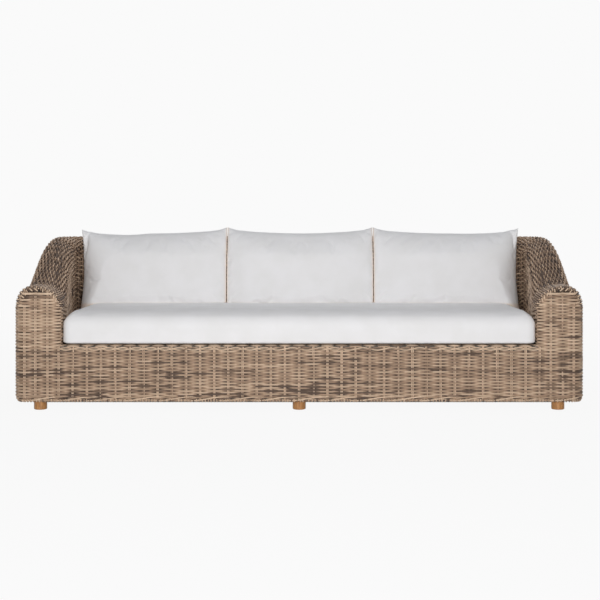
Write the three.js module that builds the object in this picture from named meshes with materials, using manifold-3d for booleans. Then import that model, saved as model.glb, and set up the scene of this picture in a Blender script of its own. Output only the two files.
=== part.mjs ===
// Three-seat garden sofa: a woven body on an aluminium frame, teak feet, one long seat cushion
// and three back cushions. Millimetres. X runs along the sofa, the front faces -Y and Z is up.
// The origin is on the floor, below the middle of the sofa.

import * as THREE from "three";
import { mergeVertices } from "three/addons/utils/BufferGeometryUtils.js";
import Module from "manifold-3d";

const wasm = await Module();
wasm.setup();

// Overall sizes
const sofaWidth = 2600;
const sofaDepth = 950;
const weaveBase = 38; // underside of the woven body, above the floor
const deckHeight = 300; // top of the woven seat deck
const armFrontHeight = 564;
const backHeight = 780;

// Arms and back, which are one wall that runs round three sides of the seat
const armFrontWidth = 213;
const armRearWidth = 150;
const backThickness = 120;
const swoopStart = 200; // how far behind the front face the arm starts to climb
const swoopEnd = 780; // and where it has reached the height of the back
const swoopPower = 0.8;
const frontOuterRadius = 45; // upright edge of the arm's front face, outside
const frontInnerRadius = 25; // the same edge at the top and on the seat side
const rearRadius = 140; // outer rear corner, seen from above
const rearInnerRadius = 180; // the corner that the cushions see

// The rounded top of the wall, as shares of its thickness, with a fuller curve than an ellipse
const crestShare = 0.35; // how far in from the outer side the highest line runs
const outerDropShare = 0.33;
const innerDropShare = 0.5;
const roundPower = 2.15;

// Woven skin
const skin = 6;
const lipWidth = 25; // the weave turns under the bottom rail by this much
const wellLap = 9; // the seat well is cut this far into the inner faces, below the deck
const apronReturn = 42; // and over the front seat rail by this much
const apronTopRadius = 12;
const apronBaseRadius = 8;
const fit = 0.3; // clearance between pieces that touch
const cutOverrun = 20;

// Frame tubes, square and round
const bar = 25;
const seatBar = 40; // width of the flat tube below the seat deck
const barWall = 2;
const hoopCornerEasing = 5; // the hoop's bends are this much softer than the woven corners
const crownTube = 22; // round tube along the top of the arms and back
const crownWall = 2;
const crownGap = 1.2; // below the skin, because both are faceted there
const archDepth = 20;
const archWidth = 20;
const bearerPitch = 380;
const bearerCount = 5;
const backPostPitch = 700;
const backPostCount = 3;
const drainHole = 8;

// Feet
const footDiameter = 60;
const footEdge = 4; // rounding of the bottom edge
const footEdgeShare = 0.3; // of that rounding, where its middle point lies
const frontFootSetback = 113; // from the side of the sofa to the middle of an outer front foot
const footInset = 10; // from the woven face to the side of the foot
const plateHalf = 35;
const plateThickness = 6;
const boltDiameter = 8;
const boltHole = 8.6;
const boltDepth = 26; // how deep the bolt is set in the foot
const nutDiameter = 15;
const nutHeight = 6.5;
const boltTail = 4;

// Seat cushion
const seatCushionHeight = 142;
const seatCushionRadius = 42;
const seatCrown = 7;
const seatDrawIn = 5;
const seatSideGap = 3;
const seatFrontGap = 4; // behind the plane of the apron
const seatRearGap = 4;
const rearCornerGap = 8;

// Back cushions
const backCushionCount = 3;
const backCushionSideGap = 26; // from the row of cushions to the rear of the arms
const backCushionGap = 2;
const backCushionRise = 362; // from the seat to the middle of the top edge
const dogEar = 30; // how far the top corners stand above the middle
const backDrawIn = 10;
const seamRearBottom = 97; // seam plane to the face of the back, at the bottom
const seamRearTop = 72; // and at the top, so that the cushion leans back
const frontBulge = 112;
const rearBulge = 112;

// Covers, fillings and zips
const cloth = 3;
const seamAllowance = 8;
const zipTape = 16; // height of the slot that the zip fills
const zipThickness = 1.5;
const zipDepth = 3.5; // the tape lies this far below the face of the cover
const sliderLength = 14;
const sliderHeight = 9;
const sliderThickness = 2.7;
const seatZipMargin = 120; // the zip ends this far before the cushion's rear corners
const backZipMargin = 174; // from each side of a back cushion to its zip
const backZipRise = 75; // above the bottom of the back cushion
const grooveDepth = 6;

// Derived places
const halfWidth = sofaWidth / 2;
const halfDepth = sofaDepth / 2;
const armRun = sofaDepth - backThickness - rearInnerRadius;
const cornerRun = ((rearInnerRadius + backThickness / 2) * Math.PI) / 2;
const backRun = halfWidth - armRearWidth - rearInnerRadius;
const halfRun = armRun + cornerRun + backRun;
const backFace = halfDepth - backThickness;
const cornerX = -backRun;
const cornerY = armRun - halfDepth;
const innerFrontX = halfWidth - armFrontWidth;
const railBase = weaveBase + skin + fit;
const railTop = railBase + bar;
const crossTop = railTop + bar;
const seatRailTop = deckHeight - skin - fit;
const seatRailBase = seatRailTop - bar;
const frameFront = halfDepth - skin - fit; // the face of the frame behind the woven skin
const sideBarOuter = innerFrontX + skin + fit + bar;
const sideBarInner = sideBarOuter - seatBar;
const crestY = halfDepth - crestShare * backThickness;
const rearBarRear = crestY + seatBar / 2;
const archFront = Math.max(frontOuterRadius, apronReturn);
const apronHalf = innerFrontX + frontInnerRadius + skin;
const seatTop = deckHeight + seatCushionHeight;
const backCushionRow = 2 * (halfWidth - armRearWidth - backCushionSideGap);
const backCushionWidth =
  (backCushionRow - (backCushionCount - 1) * backCushionGap) / backCushionCount;
const seatZipLength = 2 * (backRun - seatZipMargin);
const backZipLength = backCushionWidth - 2 * backZipMargin;
const frontFootX = halfWidth - frontFootSetback;
const footRadius = footDiameter / 2;
const footY = halfDepth - footInset - footRadius;
const rearFootX = halfWidth - rearRadius;

// Materials
const material = (color, roughness, metalness = 0) =>
  new THREE.MeshStandardMaterial({ color, roughness, metalness });
const materials = {
  weave: material(0xae9879, 0.8),
  teak: material(0xb9793f, 0.6),
  frame: material(0x6b6258, 0.5, 0.6),
  bolt: material(0xb9bbbd, 0.35, 1),
  cloth: material(0xe6e3e0, 0.9),
  foam: material(0xf1ecd8, 0.95),
  zip: material(0xd9d5cf, 0.6),
  slider: material(0xa9a9a6, 0.35, 1),
};

const sofa = new THREE.Group();

function add(name, geometry, kind) {
  geometry.computeVertexNormals();
  const mesh = new THREE.Mesh(geometry, materials[kind]);
  mesh.name = name;
  sofa.add(mesh);
  return mesh;
}

// Solids for cutting and joining
function solidOf(geometry) {
  const bare = new THREE.BufferGeometry();
  const flat = geometry.index ? geometry.toNonIndexed() : geometry;
  bare.setAttribute("position", flat.getAttribute("position"));
  const merged = mergeVertices(bare, fit / 1000);
  return new wasm.Manifold(
    new wasm.Mesh({
      numProp: 3,
      vertProperties: new Float32Array(merged.attributes.position.array),
      triVerts: new Uint32Array(merged.index.array),
    }),
  );
}

function geometryOf(solid) {
  const mesh = solid.getMesh();
  const geometry = new THREE.BufferGeometry();
  geometry.setAttribute("position", new THREE.BufferAttribute(mesh.vertProperties.slice(), 3));
  geometry.setIndex(new THREE.BufferAttribute(mesh.triVerts.slice(), 1));
  return geometry;
}

function cut(base, ...tools) {
  let solid = solidOf(base);
  for (const tool of tools) solid = solid.subtract(solidOf(tool));
  return geometryOf(solid);
}

function join(...pieces) {
  let solid = solidOf(pieces[0]);
  for (const piece of pieces.slice(1)) solid = solid.add(solidOf(piece));
  return geometryOf(solid);
}

// A box between two corners
function box(x0, x1, y0, y1, z0, z1) {
  const geometry = new THREE.BoxGeometry(x1 - x0, y1 - y0, z1 - z0);
  return geometry.translate((x0 + x1) / 2, (y0 + y1) / 2, (z0 + z1) / 2);
}

// An upright prism of a plan outline, from one height to another
function prism(shape, z0, z1) {
  const settings = { depth: z1 - z0, bevelEnabled: false, curveSegments: 4 };
  return new THREE.ExtrudeGeometry(shape, settings).translate(0, 0, z0);
}

// A solid of revolution about an upright line
function turned(profile, x, y, sides) {
  const points = profile.map(([r, z]) => new THREE.Vector2(r, z));
  return new THREE.LatheGeometry(points, sides).rotateX(Math.PI / 2).translate(x, y, 0);
}

// The same piece on the other side of the sofa
function mirrored(geometry) {
  const flat = geometry.index ? geometry.toNonIndexed() : geometry.clone();
  const places = flat.getAttribute("position");
  const copy = new THREE.BufferGeometry();
  const turnedOver = new Float32Array(places.count * 3);
  for (let i = 0; i < places.count; i += 3) {
    [0, 2, 1].forEach((corner, k) => {
      turnedOver[(i + k) * 3] = -places.getX(i + corner);
      turnedOver[(i + k) * 3 + 1] = places.getY(i + corner);
      turnedOver[(i + k) * 3 + 2] = places.getZ(i + corner);
    });
  }
  copy.setAttribute("position", new THREE.BufferAttribute(turnedOver, 3));
  return mergeVertices(copy, fit / 1000);
}

// A closed skin through rings of equal length, whose outlines are convex
function loft(rings) {
  const count = rings[0].length;
  const places = rings.flat().flatMap((p) => [p.x, p.y, p.z]);
  const index = [];
  for (let r = 0; r + 1 < rings.length; r++) {
    for (let k = 0; k < count; k++) {
      const a = r * count + k;
      const b = r * count + ((k + 1) % count);
      index.push(a, b, a + count, b, b + count, a + count);
    }
  }
  const last = (rings.length - 1) * count;
  for (let k = 1; k + 1 < count; k++) {
    index.push(0, k + 1, k);
    index.push(last, last + k, last + k + 1);
  }
  const geometry = new THREE.BufferGeometry();
  geometry.setAttribute("position", new THREE.Float32BufferAttribute(places, 3));
  geometry.setIndex(index);
  return geometry;
}

const range = (from, to, steps) =>
  Array.from({ length: steps + 1 }, (_, k) => from + ((to - from) * k) / steps);

// The wall of arms and back, at a distance along its run from the left arm's front face

function ease(share) {
  const k = Math.min(Math.max(share, 0), 1);
  return k * k * (3 - 2 * k);
}

const armWidthAt = (depth) =>
  armFrontWidth + (armRearWidth - armFrontWidth) * ease(depth / armRun);

function heightAt(depth) {
  const share = Math.min(Math.max((depth - swoopStart) / (swoopEnd - swoopStart), 0), 1);
  return armFrontHeight + (backHeight - armFrontHeight) * ease(share ** swoopPower);
}

// Where a ray from the inner corner's centre leaves the rounded plan of the sofa
function outerCorner(angle) {
  const ray = new THREE.Vector2(-Math.cos(angle), Math.sin(angle));
  const start = new THREE.Vector2(cornerX, cornerY);
  const sideHit = start.clone().addScaledVector(ray, (halfWidth + cornerX) / -ray.x);
  if (angle === 0 || sideHit.y <= halfDepth - rearRadius) return sideHit;
  const rearHit = start.clone().addScaledVector(ray, (halfDepth - cornerY) / ray.y);
  if (rearHit.x >= rearRadius - halfWidth) return rearHit;
  const centre = new THREE.Vector2(rearRadius - halfWidth, halfDepth - rearRadius);
  const offset = start.clone().sub(centre);
  const along = offset.dot(ray);
  const reach = Math.sqrt(along * along - offset.lengthSq() + rearRadius ** 2) - along;
  return start.addScaledVector(ray, reach);
}

function wallAt(run) {
  if (run > halfRun) {
    const twin = wallAt(2 * halfRun - run);
    twin.outer.x *= -1;
    twin.inner.x *= -1;
    return twin;
  }
  if (run <= armRun) {
    const y = run - halfDepth;
    const outer = new THREE.Vector2(-halfWidth, y);
    const inner = new THREE.Vector2(armWidthAt(run) - halfWidth, y);
    return { outer, inner, height: heightAt(run) };
  }
  if (run < armRun + cornerRun) {
    const angle = (((run - armRun) / cornerRun) * Math.PI) / 2;
    const outer = outerCorner(angle);
    const inner = new THREE.Vector2(
      cornerX - rearInnerRadius * Math.cos(angle),
      cornerY + rearInnerRadius * Math.sin(angle),
    );
    return { outer, inner, height: heightAt(outer.y + halfDepth) };
  }
  const x = cornerX + run - armRun - cornerRun;
  const outer = new THREE.Vector2(x, halfDepth);
  return { outer, inner: new THREE.Vector2(x, backFace), height: backHeight };
}

// How far a rounded edge draws back, at a distance behind the front face
function edgeDraw(distance, radius) {
  if (distance >= radius) return 0;
  const rest = radius - Math.max(distance, 0); // a rounding error may put it just in front
  return radius - Math.sqrt(radius ** 2 - rest ** 2);
}

// The outline of the wall across its run, from the outer foot over the top to the inner foot
function wallRing(run, inset, base) {
  const { outer, inner, height } = wallAt(run);
  const distance = Math.min(run, 2 * halfRun - run) - inset;
  const outerDraw = inset + edgeDraw(distance, frontOuterRadius - inset);
  const innerDraw = inset + edgeDraw(distance, frontInnerRadius - inset);
  const across = inner.clone().sub(outer).normalize();
  const from = outer.clone().addScaledVector(across, outerDraw);
  const width = inner.distanceTo(outer) - outerDraw - innerDraw;
  const top = height - innerDraw;
  const crest = crestShare * width;
  const outerDrop = outerDropShare * width;
  const innerDrop = innerDropShare * width;
  const bend = 2 / roundPower;
  const profile = [[0, base]];
  for (const angle of range(0, Math.PI / 2, 5)) {
    profile.push([
      crest - crest * Math.cos(angle) ** bend,
      top - outerDrop + outerDrop * Math.sin(angle) ** bend,
    ]);
  }
  for (const angle of range(Math.PI / 2, 0, 6).slice(1)) {
    profile.push([
      crest + (width - crest) * Math.max(Math.cos(angle), 0) ** bend,
      top - innerDrop + innerDrop * Math.sin(angle) ** bend,
    ]);
  }
  profile.push([width, base]);
  return profile.map(([a, z]) => {
    const spot = from.clone().addScaledVector(across, a);
    return new THREE.Vector3(spot.x, spot.y, z);
  });
}

const edgeShares = [0, 0.08, 0.3, 0.62, 1];
const frontRuns = (inset) =>
  edgeShares.map((share) => inset + share * (frontOuterRadius - inset));
const armRuns = range(frontOuterRadius, armRun, 12).slice(1);

// The corner's rings pass through the ends of the outer arc, so that its sides stay true
const arcStart = Math.atan2(halfDepth - rearRadius - cornerY, halfWidth + cornerX);
const arcEnd = Math.atan2(halfDepth - cornerY, halfWidth - rearRadius + cornerX);
const cornerRuns = [
  ...range(0, arcStart, 3).slice(1),
  ...range(arcStart, arcEnd, 6).slice(1),
  ...range(arcEnd, Math.PI / 2, 3).slice(1),
].map((angle) => armRun + (cornerRun * angle) / (Math.PI / 2));
const twinRuns = (runs) => runs.map((run) => 2 * halfRun - run).reverse();

const wall = (runs, inset, base) => loft(runs.map((run) => wallRing(run, inset, base)));

// The plan of the seat well: the inner faces of the arms and back, moved outwards by a lap
function wellShape(lap, front) {
  const left = [];
  for (const depth of [front + halfDepth, ...armRuns.filter((run) => run > front + halfDepth)]) {
    left.push([armWidthAt(depth) - halfWidth - lap, depth - halfDepth]);
  }
  for (const angle of range(0, Math.PI / 2, 8).slice(1)) {
    left.push([
      cornerX - (rearInnerRadius + lap) * Math.cos(angle),
      cornerY + (rearInnerRadius + lap) * Math.sin(angle),
    ]);
  }
  const right = left.map(([x, y]) => [-x, y]).reverse();
  return new THREE.Shape([...left, ...right].reverse().map(([x, y]) => new THREE.Vector2(x, y)));
}

// The plan of the whole sofa, drawn in by an inset, with corners that may be eased further
function planShape(inset, easing = 0) {
  const x = halfWidth - inset;
  const y = halfDepth - inset;
  const rear = Math.max(rearRadius + easing - inset, 0);
  const front = Math.max(frontOuterRadius + easing - inset, 0);
  const shape = new THREE.Shape();
  shape.moveTo(-x + front, -y);
  shape.lineTo(x - front, -y);
  if (front > 0) shape.absarc(x - front, -y + front, front, -Math.PI / 2, 0, false);
  shape.lineTo(x, y - rear);
  shape.absarc(x - rear, y - rear, rear, 0, Math.PI / 2, false);
  shape.lineTo(-x + rear, y);
  shape.absarc(-x + rear, y - rear, rear, Math.PI / 2, Math.PI, false);
  shape.lineTo(-x, -y + front);
  if (front > 0) shape.absarc(-x + front, -y + front, front, Math.PI, Math.PI * 1.5, false);
  return shape;
}

const footPlaces = [
  ["front_left", -frontFootX, -footY],
  ["front_centre", 0, -footY],
  ["front_right", frontFootX, -footY],
  ["rear_left", -rearFootX, footY],
  ["rear_centre", 0, footY],
  ["rear_right", rearFootX, footY],
];

// Woven body: left arm, right arm, back, front apron and seat deck
function addWeave() {
  const everyRun = (inset) => [
    ...frontRuns(inset),
    ...armRuns,
    ...cornerRuns,
    ...twinRuns([...armRuns, ...cornerRuns]),
    ...twinRuns(frontRuns(inset)),
  ];
  const hollow = wall(everyRun(skin), skin, weaveBase + skin);
  const lipOpening = prism(planShape(skin + lipWidth), weaveBase - cutOverrun, weaveBase + skin + fit);
  const well = prism(wellShape(wellLap, skin - halfDepth), weaveBase - cutOverrun, deckHeight);
  const frontNotch = box(
    -apronHalf,
    cutOverrun - innerFrontX,
    -halfDepth - cutOverrun,
    skin - halfDepth,
    weaveBase - cutOverrun,
    deckHeight,
  );
  const edgeNotch = box(
    -apronHalf,
    cutOverrun - innerFrontX,
    -halfDepth - cutOverrun,
    frontOuterRadius - halfDepth,
    weaveBase - cutOverrun,
    deckHeight,
  );
  const footHole = ([, x, y]) =>
    turned(
      [
        [0, 0],
        [footRadius + 2 * fit, 0],
        [footRadius + 2 * fit, weaveBase + skin + fit],
        [0, weaveBase + skin + fit],
      ],
      x,
      y,
      24,
    );
  const leftHoles = footPlaces.filter(([, x]) => x < 0).map(footHole);
  const arm = cut(
    wall([...frontRuns(0), ...armRuns], 0, weaveBase),
    hollow,
    lipOpening,
    well,
    frontNotch,
    edgeNotch,
    ...leftHoles,
  );
  add("left_arm_weave", arm, "weave");
  add("right_arm_weave", mirrored(arm), "weave");

  const backRuns = [armRun, ...cornerRuns, ...twinRuns([armRun, ...cornerRuns])];
  const back = cut(
    wall(backRuns, 0, weaveBase),
    hollow,
    lipOpening,
    well,
    ...footPlaces.map(footHole),
  );
  add("back_weave", back, "weave");

  add("front_apron_weave", cut(apronBlank(), footHole(footPlaces[1])), "weave");

  const deck = wellShape(skin, apronReturn - halfDepth);
  add("seat_deck_weave", prism(deck, deckHeight - skin, deckHeight), "weave");
}

// The apron's section: over the front seat rail, down the face and under the bottom rail
function apronBlank() {
  const y = -halfDepth;
  const shape = new THREE.Shape();
  shape.moveTo(y + apronReturn, deckHeight);
  shape.lineTo(y + apronTopRadius, deckHeight);
  shape.absarc(y + apronTopRadius, deckHeight - apronTopRadius, apronTopRadius, Math.PI / 2, Math.PI);
  shape.lineTo(y, weaveBase + apronBaseRadius);
  shape.absarc(
    y + apronBaseRadius,
    weaveBase + apronBaseRadius,
    apronBaseRadius,
    Math.PI,
    Math.PI * 1.5,
  );
  shape.lineTo(y + skin + lipWidth, weaveBase);
  shape.lineTo(y + skin + lipWidth, weaveBase + skin);
  shape.lineTo(y + skin, weaveBase + skin);
  shape.lineTo(y + skin, deckHeight - skin);
  shape.lineTo(y + apronReturn, deckHeight - skin);
  const settings = { depth: 2 * apronHalf, bevelEnabled: false, curveSegments: 4 };
  const geometry = new THREE.ExtrudeGeometry(shape, settings);
  const alongX = new THREE.Matrix4().makeBasis(
    new THREE.Vector3(0, 1, 0),
    new THREE.Vector3(0, 0, 1),
    new THREE.Vector3(1, 0, 0),
  );
  return geometry.applyMatrix4(alongX).translate(-apronHalf, 0, 0);
}

// A straight hollow tube of rectangular section, open at both ends, between two corners
function tube(axis, x0, x1, y0, y1, z0, z1) {
  const low = { x: x0 + barWall, y: y0 + barWall, z: z0 + barWall };
  const high = { x: x1 - barWall, y: y1 - barWall, z: z1 - barWall };
  low[axis] -= barWall + cutOverrun;
  high[axis] += barWall + cutOverrun;
  return cut(box(x0, x1, y0, y1, z0, z1), box(low.x, high.x, low.y, high.y, low.z, high.z));
}

// A flat ring of tube round the inside of the woven body, with a plate over each foot
function addBaseHoop() {
  const inset = skin + fit;
  const ring = (outerInset, innerInset, z0, z1) => {
    const shape = planShape(outerInset, hoopCornerEasing);
    const inside = planShape(innerInset, hoopCornerEasing).getPoints(4).reverse();
    shape.holes.push(new THREE.Path(inside));
    return prism(shape, z0, z1);
  };
  const outside = ring(inset, inset + bar, railBase, railTop);
  const hollow = ring(inset + barWall, inset + bar - barWall, railBase + barWall, railTop - barWall);
  const plates = footPlaces.map(([, x, y]) => {
    const near = Math.abs(y) - plateHalf;
    const far = frameFront - bar + barWall;
    const [y0, y1] = y < 0 ? [-far, -near] : [near, far];
    return box(x - plateHalf, x + plateHalf, y0, y1, railBase, railBase + plateThickness);
  });
  const boltHoles = footPlaces.map(([, x, y]) => hole(boltHole, x, y, railBase, railTop));
  const drains = [-1, 1].map((side) =>
    hole(drainHole, side * backPostPitch, frameFront - bar / 2, railBase, railBase + barWall),
  );
  const welded = join(cut(outside, hollow), ...plates);
  add("base_hoop", cut(welded, ...boltHoles, ...drains), "frame");
}

function hole(diameter, x, y, z0, z1) {
  const profile = [
    [0, z0 - fit],
    [diameter / 2, z0 - fit],
    [diameter / 2, z1 + fit],
    [0, z1 + fit],
  ];
  return turned(profile, x, y, 12);
}

// Cross rails on the hoop, short posts on them and the seat frame on the posts
function addSeatFrame() {
  const sideBarX = (sideBarOuter + sideBarInner) / 2;
  const crossPlaces = [["left", -sideBarX], ["centre", 0], ["right", sideBarX]];
  const half = bar / 2;
  const frontPostY = -frameFront + half;
  for (const [side, x] of crossPlaces) {
    const cross = tube("y", x - half, x + half, -frameFront, frameFront, railTop, crossTop);
    add("base_cross_rail_" + side, cross, "frame");
    for (const [end, y] of [["front", frontPostY], ["rear", crestY]]) {
      const post = tube("z", x - half, x + half, y - half, y + half, crossTop, seatRailBase);
      add("seat_post_" + end + "_" + side, post, "frame");
    }
  }
  const frontInner = -frameFront + seatBar;
  const rearInner = rearBarRear - seatBar;
  const z = [seatRailBase, seatRailTop];
  const long = (y0, y1) => tube("x", -sideBarOuter, sideBarOuter, y0, y1, ...z);
  add("seat_rail_front", long(-frameFront, frontInner), "frame");
  add("seat_rail_rear", long(rearInner, rearBarRear), "frame");
  add("seat_rail_left", tube("y", -sideBarOuter, -sideBarInner, frontInner, rearInner, ...z), "frame");
  add("seat_rail_right", tube("y", sideBarInner, sideBarOuter, frontInner, rearInner, ...z), "frame");
  for (let k = 0; k < bearerCount; k++) {
    const x = (k - (bearerCount - 1) / 2) * bearerPitch;
    add("seat_bearer_" + (k + 1), tube("y", x - half, x + half, frontInner, rearInner, ...z), "frame");
  }
}

// An upright arch of flat bar that carries the front of an arm
function armArch() {
  const rear = archFront + archDepth;
  const place = (inset) => wallRing(rear, inset, seatRailTop);
  const outerRing = place(skin + fit);
  const innerRing = place(skin + fit + archWidth);
  const outline = outerRing.map((p) => new THREE.Vector2(p.x, p.z));
  outline[0].y = railTop;
  const inside = innerRing.map((p) => new THREE.Vector2(p.x, p.z));
  inside[0].y = railTop;
  const shape = new THREE.Shape([...outline, ...inside.reverse()]);
  const geometry = new THREE.ExtrudeGeometry(shape, { depth: archDepth, bevelEnabled: false });
  return geometry.rotateX(Math.PI / 2).translate(0, rear - halfDepth, 0);
}

// The line that the crown tube follows, below the crest of the wall
class CrownLine extends THREE.Curve {
  constructor(from, to) {
    super();
    this.from = from;
    this.to = to;
  }
  getPoint(share, target = new THREE.Vector3()) {
    const run = this.from + (this.to - this.from) * share;
    const { outer, inner, height } = wallAt(run);
    const spot = outer.clone().lerp(inner, crestShare);
    const slope = (wallAt(run + fit).height - wallAt(run - fit).height) / (2 * fit);
    const depth = (crownGap + crownTube / 2) * Math.hypot(1, slope);
    return target.set(spot.x, spot.y, height - skin - depth);
  }
}

function crownRail(from, to, steps) {
  const circle = (radius) => {
    const points = range(0, Math.PI * 2, 8).slice(0, 8);
    return points.map((a) => new THREE.Vector2(radius * Math.cos(a), radius * Math.sin(a)));
  };
  const shape = new THREE.Shape(circle(crownTube / 2));
  shape.holes.push(new THREE.Path(circle(crownTube / 2 - crownWall).reverse()));
  const line = new CrownLine(from, to);
  return new THREE.ExtrudeGeometry(shape, { steps, bevelEnabled: false, extrudePath: line });
}

function addUpperFrame() {
  const arch = armArch();
  add("arm_arch_left", arch, "frame");
  add("arm_arch_right", mirrored(arch), "frame");
  const start = archFront + archDepth + fit;
  const rail = crownRail(start, armRun - fit, 14);
  add("arm_rail_left", rail, "frame");
  add("arm_rail_right", mirrored(rail), "frame");
  add("back_rail", crownRail(armRun + fit, 2 * halfRun - armRun - fit, 30), "frame");
  const postTop = backHeight - skin - crownGap - crownTube - fit;
  const half = bar / 2;
  for (let k = 0; k < backPostCount; k++) {
    const x = (k - (backPostCount - 1) / 2) * backPostPitch;
    const post = tube("z", x - half, x + half, crestY - half, crestY + half, seatRailTop, postTop);
    add("back_post_" + (k + 1), post, "frame");
  }
}

// Turned teak feet, each with a bolt up through the plate of the base hoop
function addFeet() {
  const footTop = railBase - fit;
  const boltFoot = footTop - boltDepth;
  for (const [place, x, y] of footPlaces) {
    const foot = [
      [0, 0],
      [footRadius - footEdge, 0],
      [footRadius - footEdge * footEdgeShare, footEdge * footEdgeShare],
      [footRadius, footEdge],
      [footRadius, footTop],
      [boltHole / 2, footTop],
      [boltHole / 2, boltFoot],
      [0, boltFoot],
    ];
    add("foot_" + place, turned(foot, x, y, 16), "teak");
    const nutBase = railBase + plateThickness + fit;
    const nutTop = nutBase + nutHeight;
    const bolt = [
      [0, boltFoot + fit],
      [boltDiameter / 2, boltFoot + fit],
      [boltDiameter / 2, nutBase],
      [nutDiameter / 2, nutBase],
      [nutDiameter / 2, nutTop],
      [boltDiameter / 2, nutTop],
      [boltDiameter / 2, nutTop + boltTail],
      [0, nutTop + boltTail],
    ];
    add("foot_bolt_" + place, turned(bolt, x, y, 10), "bolt");
  }
}

// A box of cushion with soft edges, a crown on top and ends that draw in
function boxedForm(inset) {
  const y0 = seatFrontGap - halfDepth;
  const y1 = backFace - seatRearGap;
  const halfX = innerFrontX - seatSideGap - inset;
  const halfY = (y1 - y0) / 2 - inset;
  const halfZ = seatCushionHeight / 2 - inset - fit / 2;
  const radius = seatCushionRadius - inset;
  const middle = new THREE.Vector3(0, (y0 + y1) / 2, deckHeight + seatCushionHeight / 2 + fit / 2);
  const acrossCount = 12; // faces along the cushion, from front to rear and up its side
  const depthCount = 8;
  const heightCount = 5;
  const arcCount = 2; // rows of faces round each soft edge
  const geometry = new THREE.BoxGeometry(2, 2, 2, acrossCount, depthCount, heightCount);
  const places = geometry.getAttribute("position");
  const grid = (value, half, count) => {
    const step = Math.round(((value + 1) / 2) * count);
    const fromEdge = Math.min(step, count - step);
    if (fromEdge <= arcCount) return Math.sign(value) * (half - (radius * fromEdge) / arcCount);
    return ((value * count) / (count - 2 * arcCount)) * (half - radius);
  };
  const p = new THREE.Vector3();
  for (let i = 0; i < places.count; i++) {
    p.fromBufferAttribute(places, i);
    p.set(
      grid(p.x, halfX, acrossCount),
      grid(p.y, halfY, depthCount),
      grid(p.z, halfZ, heightCount),
    );
    const core = new THREE.Vector3(
      THREE.MathUtils.clamp(p.x, radius - halfX, halfX - radius),
      THREE.MathUtils.clamp(p.y, radius - halfY, halfY - radius),
      THREE.MathUtils.clamp(p.z, radius - halfZ, halfZ - radius),
    );
    p.sub(core).normalize().multiplyScalar(radius).add(core);
    const alongX = Math.abs(p.x / halfX);
    const alongY = Math.abs(p.y / halfY);
    if (p.z > 0) p.z += seatCrown * (1 - alongX ** 12) * (1 - alongY ** 6);
    p.x -= Math.sign(p.x) * seatDrawIn * alongX ** 8 * (1 - alongY ** 2);
    p.add(middle);
    const past = p.y - cornerY;
    if (past > 0) {
      const reach = rearInnerRadius - rearCornerGap;
      const limit = Math.sqrt(Math.max(reach ** 2 - past ** 2, 0)) - cornerX - inset;
      p.x *= Math.min(1, limit / halfX);
    }
    places.setXYZ(i, p.x, p.y, p.z);
  }
  return geometry;
}

// How far back a cushion may reach beside the rounded inner corner
function cornerLimit(x, inset) {
  const past = Math.max(Math.abs(x) + cornerX, 0);
  const reach = rearInnerRadius - rearCornerGap - inset;
  return past > 0 ? cornerY + Math.sqrt(Math.max(reach ** 2 - past ** 2, 0)) : backFace;
}

// A pillow with a knife-edge seam and pointed top corners, flat where it leans on the back.
// The points of its grid lie closer together towards the seam.
function pillowForm(middleX, inset) {
  const across = 12;
  const upward = 8;
  const spread = (step, count) => {
    const even = (step / count) * 2 - 1;
    return (Math.sin((even * Math.PI) / 2) + even) / 2;
  };
  const seam = inset > 0 ? seamAllowance + inset : 0;
  const halfX = backCushionWidth / 2 - seam;
  const bottom = seatTop + seatCrown + 2 * fit + inset;
  const rise = backCushionRise - seatCrown - inset - seam;
  const rearPlane = backFace - fit - inset;
  const front = [];
  const rear = [];
  for (let j = 0; j <= upward; j++) {
    for (let i = 0; i <= across; i++) {
      const u = spread(i, across);
      const v = spread(j, upward);
      const heightShare = (v + 1) / 2;
      const x = middleX + halfX * u - Math.sign(u) * backDrawIn * Math.abs(u) ** 4 * (1 - v * v);
      const ear = dogEar * Math.abs(u) ** 3 * heightShare ** 2;
      const z = bottom + rise * heightShare + ear;
      const side = Math.sqrt(Math.max(1 - Math.abs(u) ** 4, 0));
      const fullness = Math.sqrt(Math.max(1 - Math.abs(v) ** (v < 0 ? 8 : 2.6), 0));
      const limit = Math.min(rearPlane, cornerLimit(x, inset));
      const lean = THREE.MathUtils.lerp(seamRearBottom, seamRearTop, heightShare);
      const seamY = Math.min(backFace - lean, limit - seamAllowance);
      const round = side * fullness;
      front.push(new THREE.Vector3(x, seamY - (frontBulge - inset) * round, z));
      rear.push(new THREE.Vector3(x, Math.min(seamY + (rearBulge - inset) * round, limit), z));
    }
  }
  return closedPair(front, rear, across, upward);
}

// Two grids of points that share their border, closed into one skin
function closedPair(front, rear, across, upward) {
  const places = [...front, ...rear].flatMap((p) => [p.x, p.y, p.z]);
  const index = [];
  const row = across + 1;
  for (let j = 0; j < upward; j++) {
    for (let i = 0; i < across; i++) {
      const a = j * row + i;
      const b = a + front.length;
      index.push(a, a + 1, a + row + 1, a, a + row + 1, a + row);
      index.push(b, b + row + 1, b + 1, b, b + row, b + row + 1);
    }
  }
  const geometry = new THREE.BufferGeometry();
  geometry.setAttribute("position", new THREE.Float32BufferAttribute(places, 3));
  geometry.setIndex(index);
  return mergeVertices(geometry, fit / 1000);
}

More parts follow.
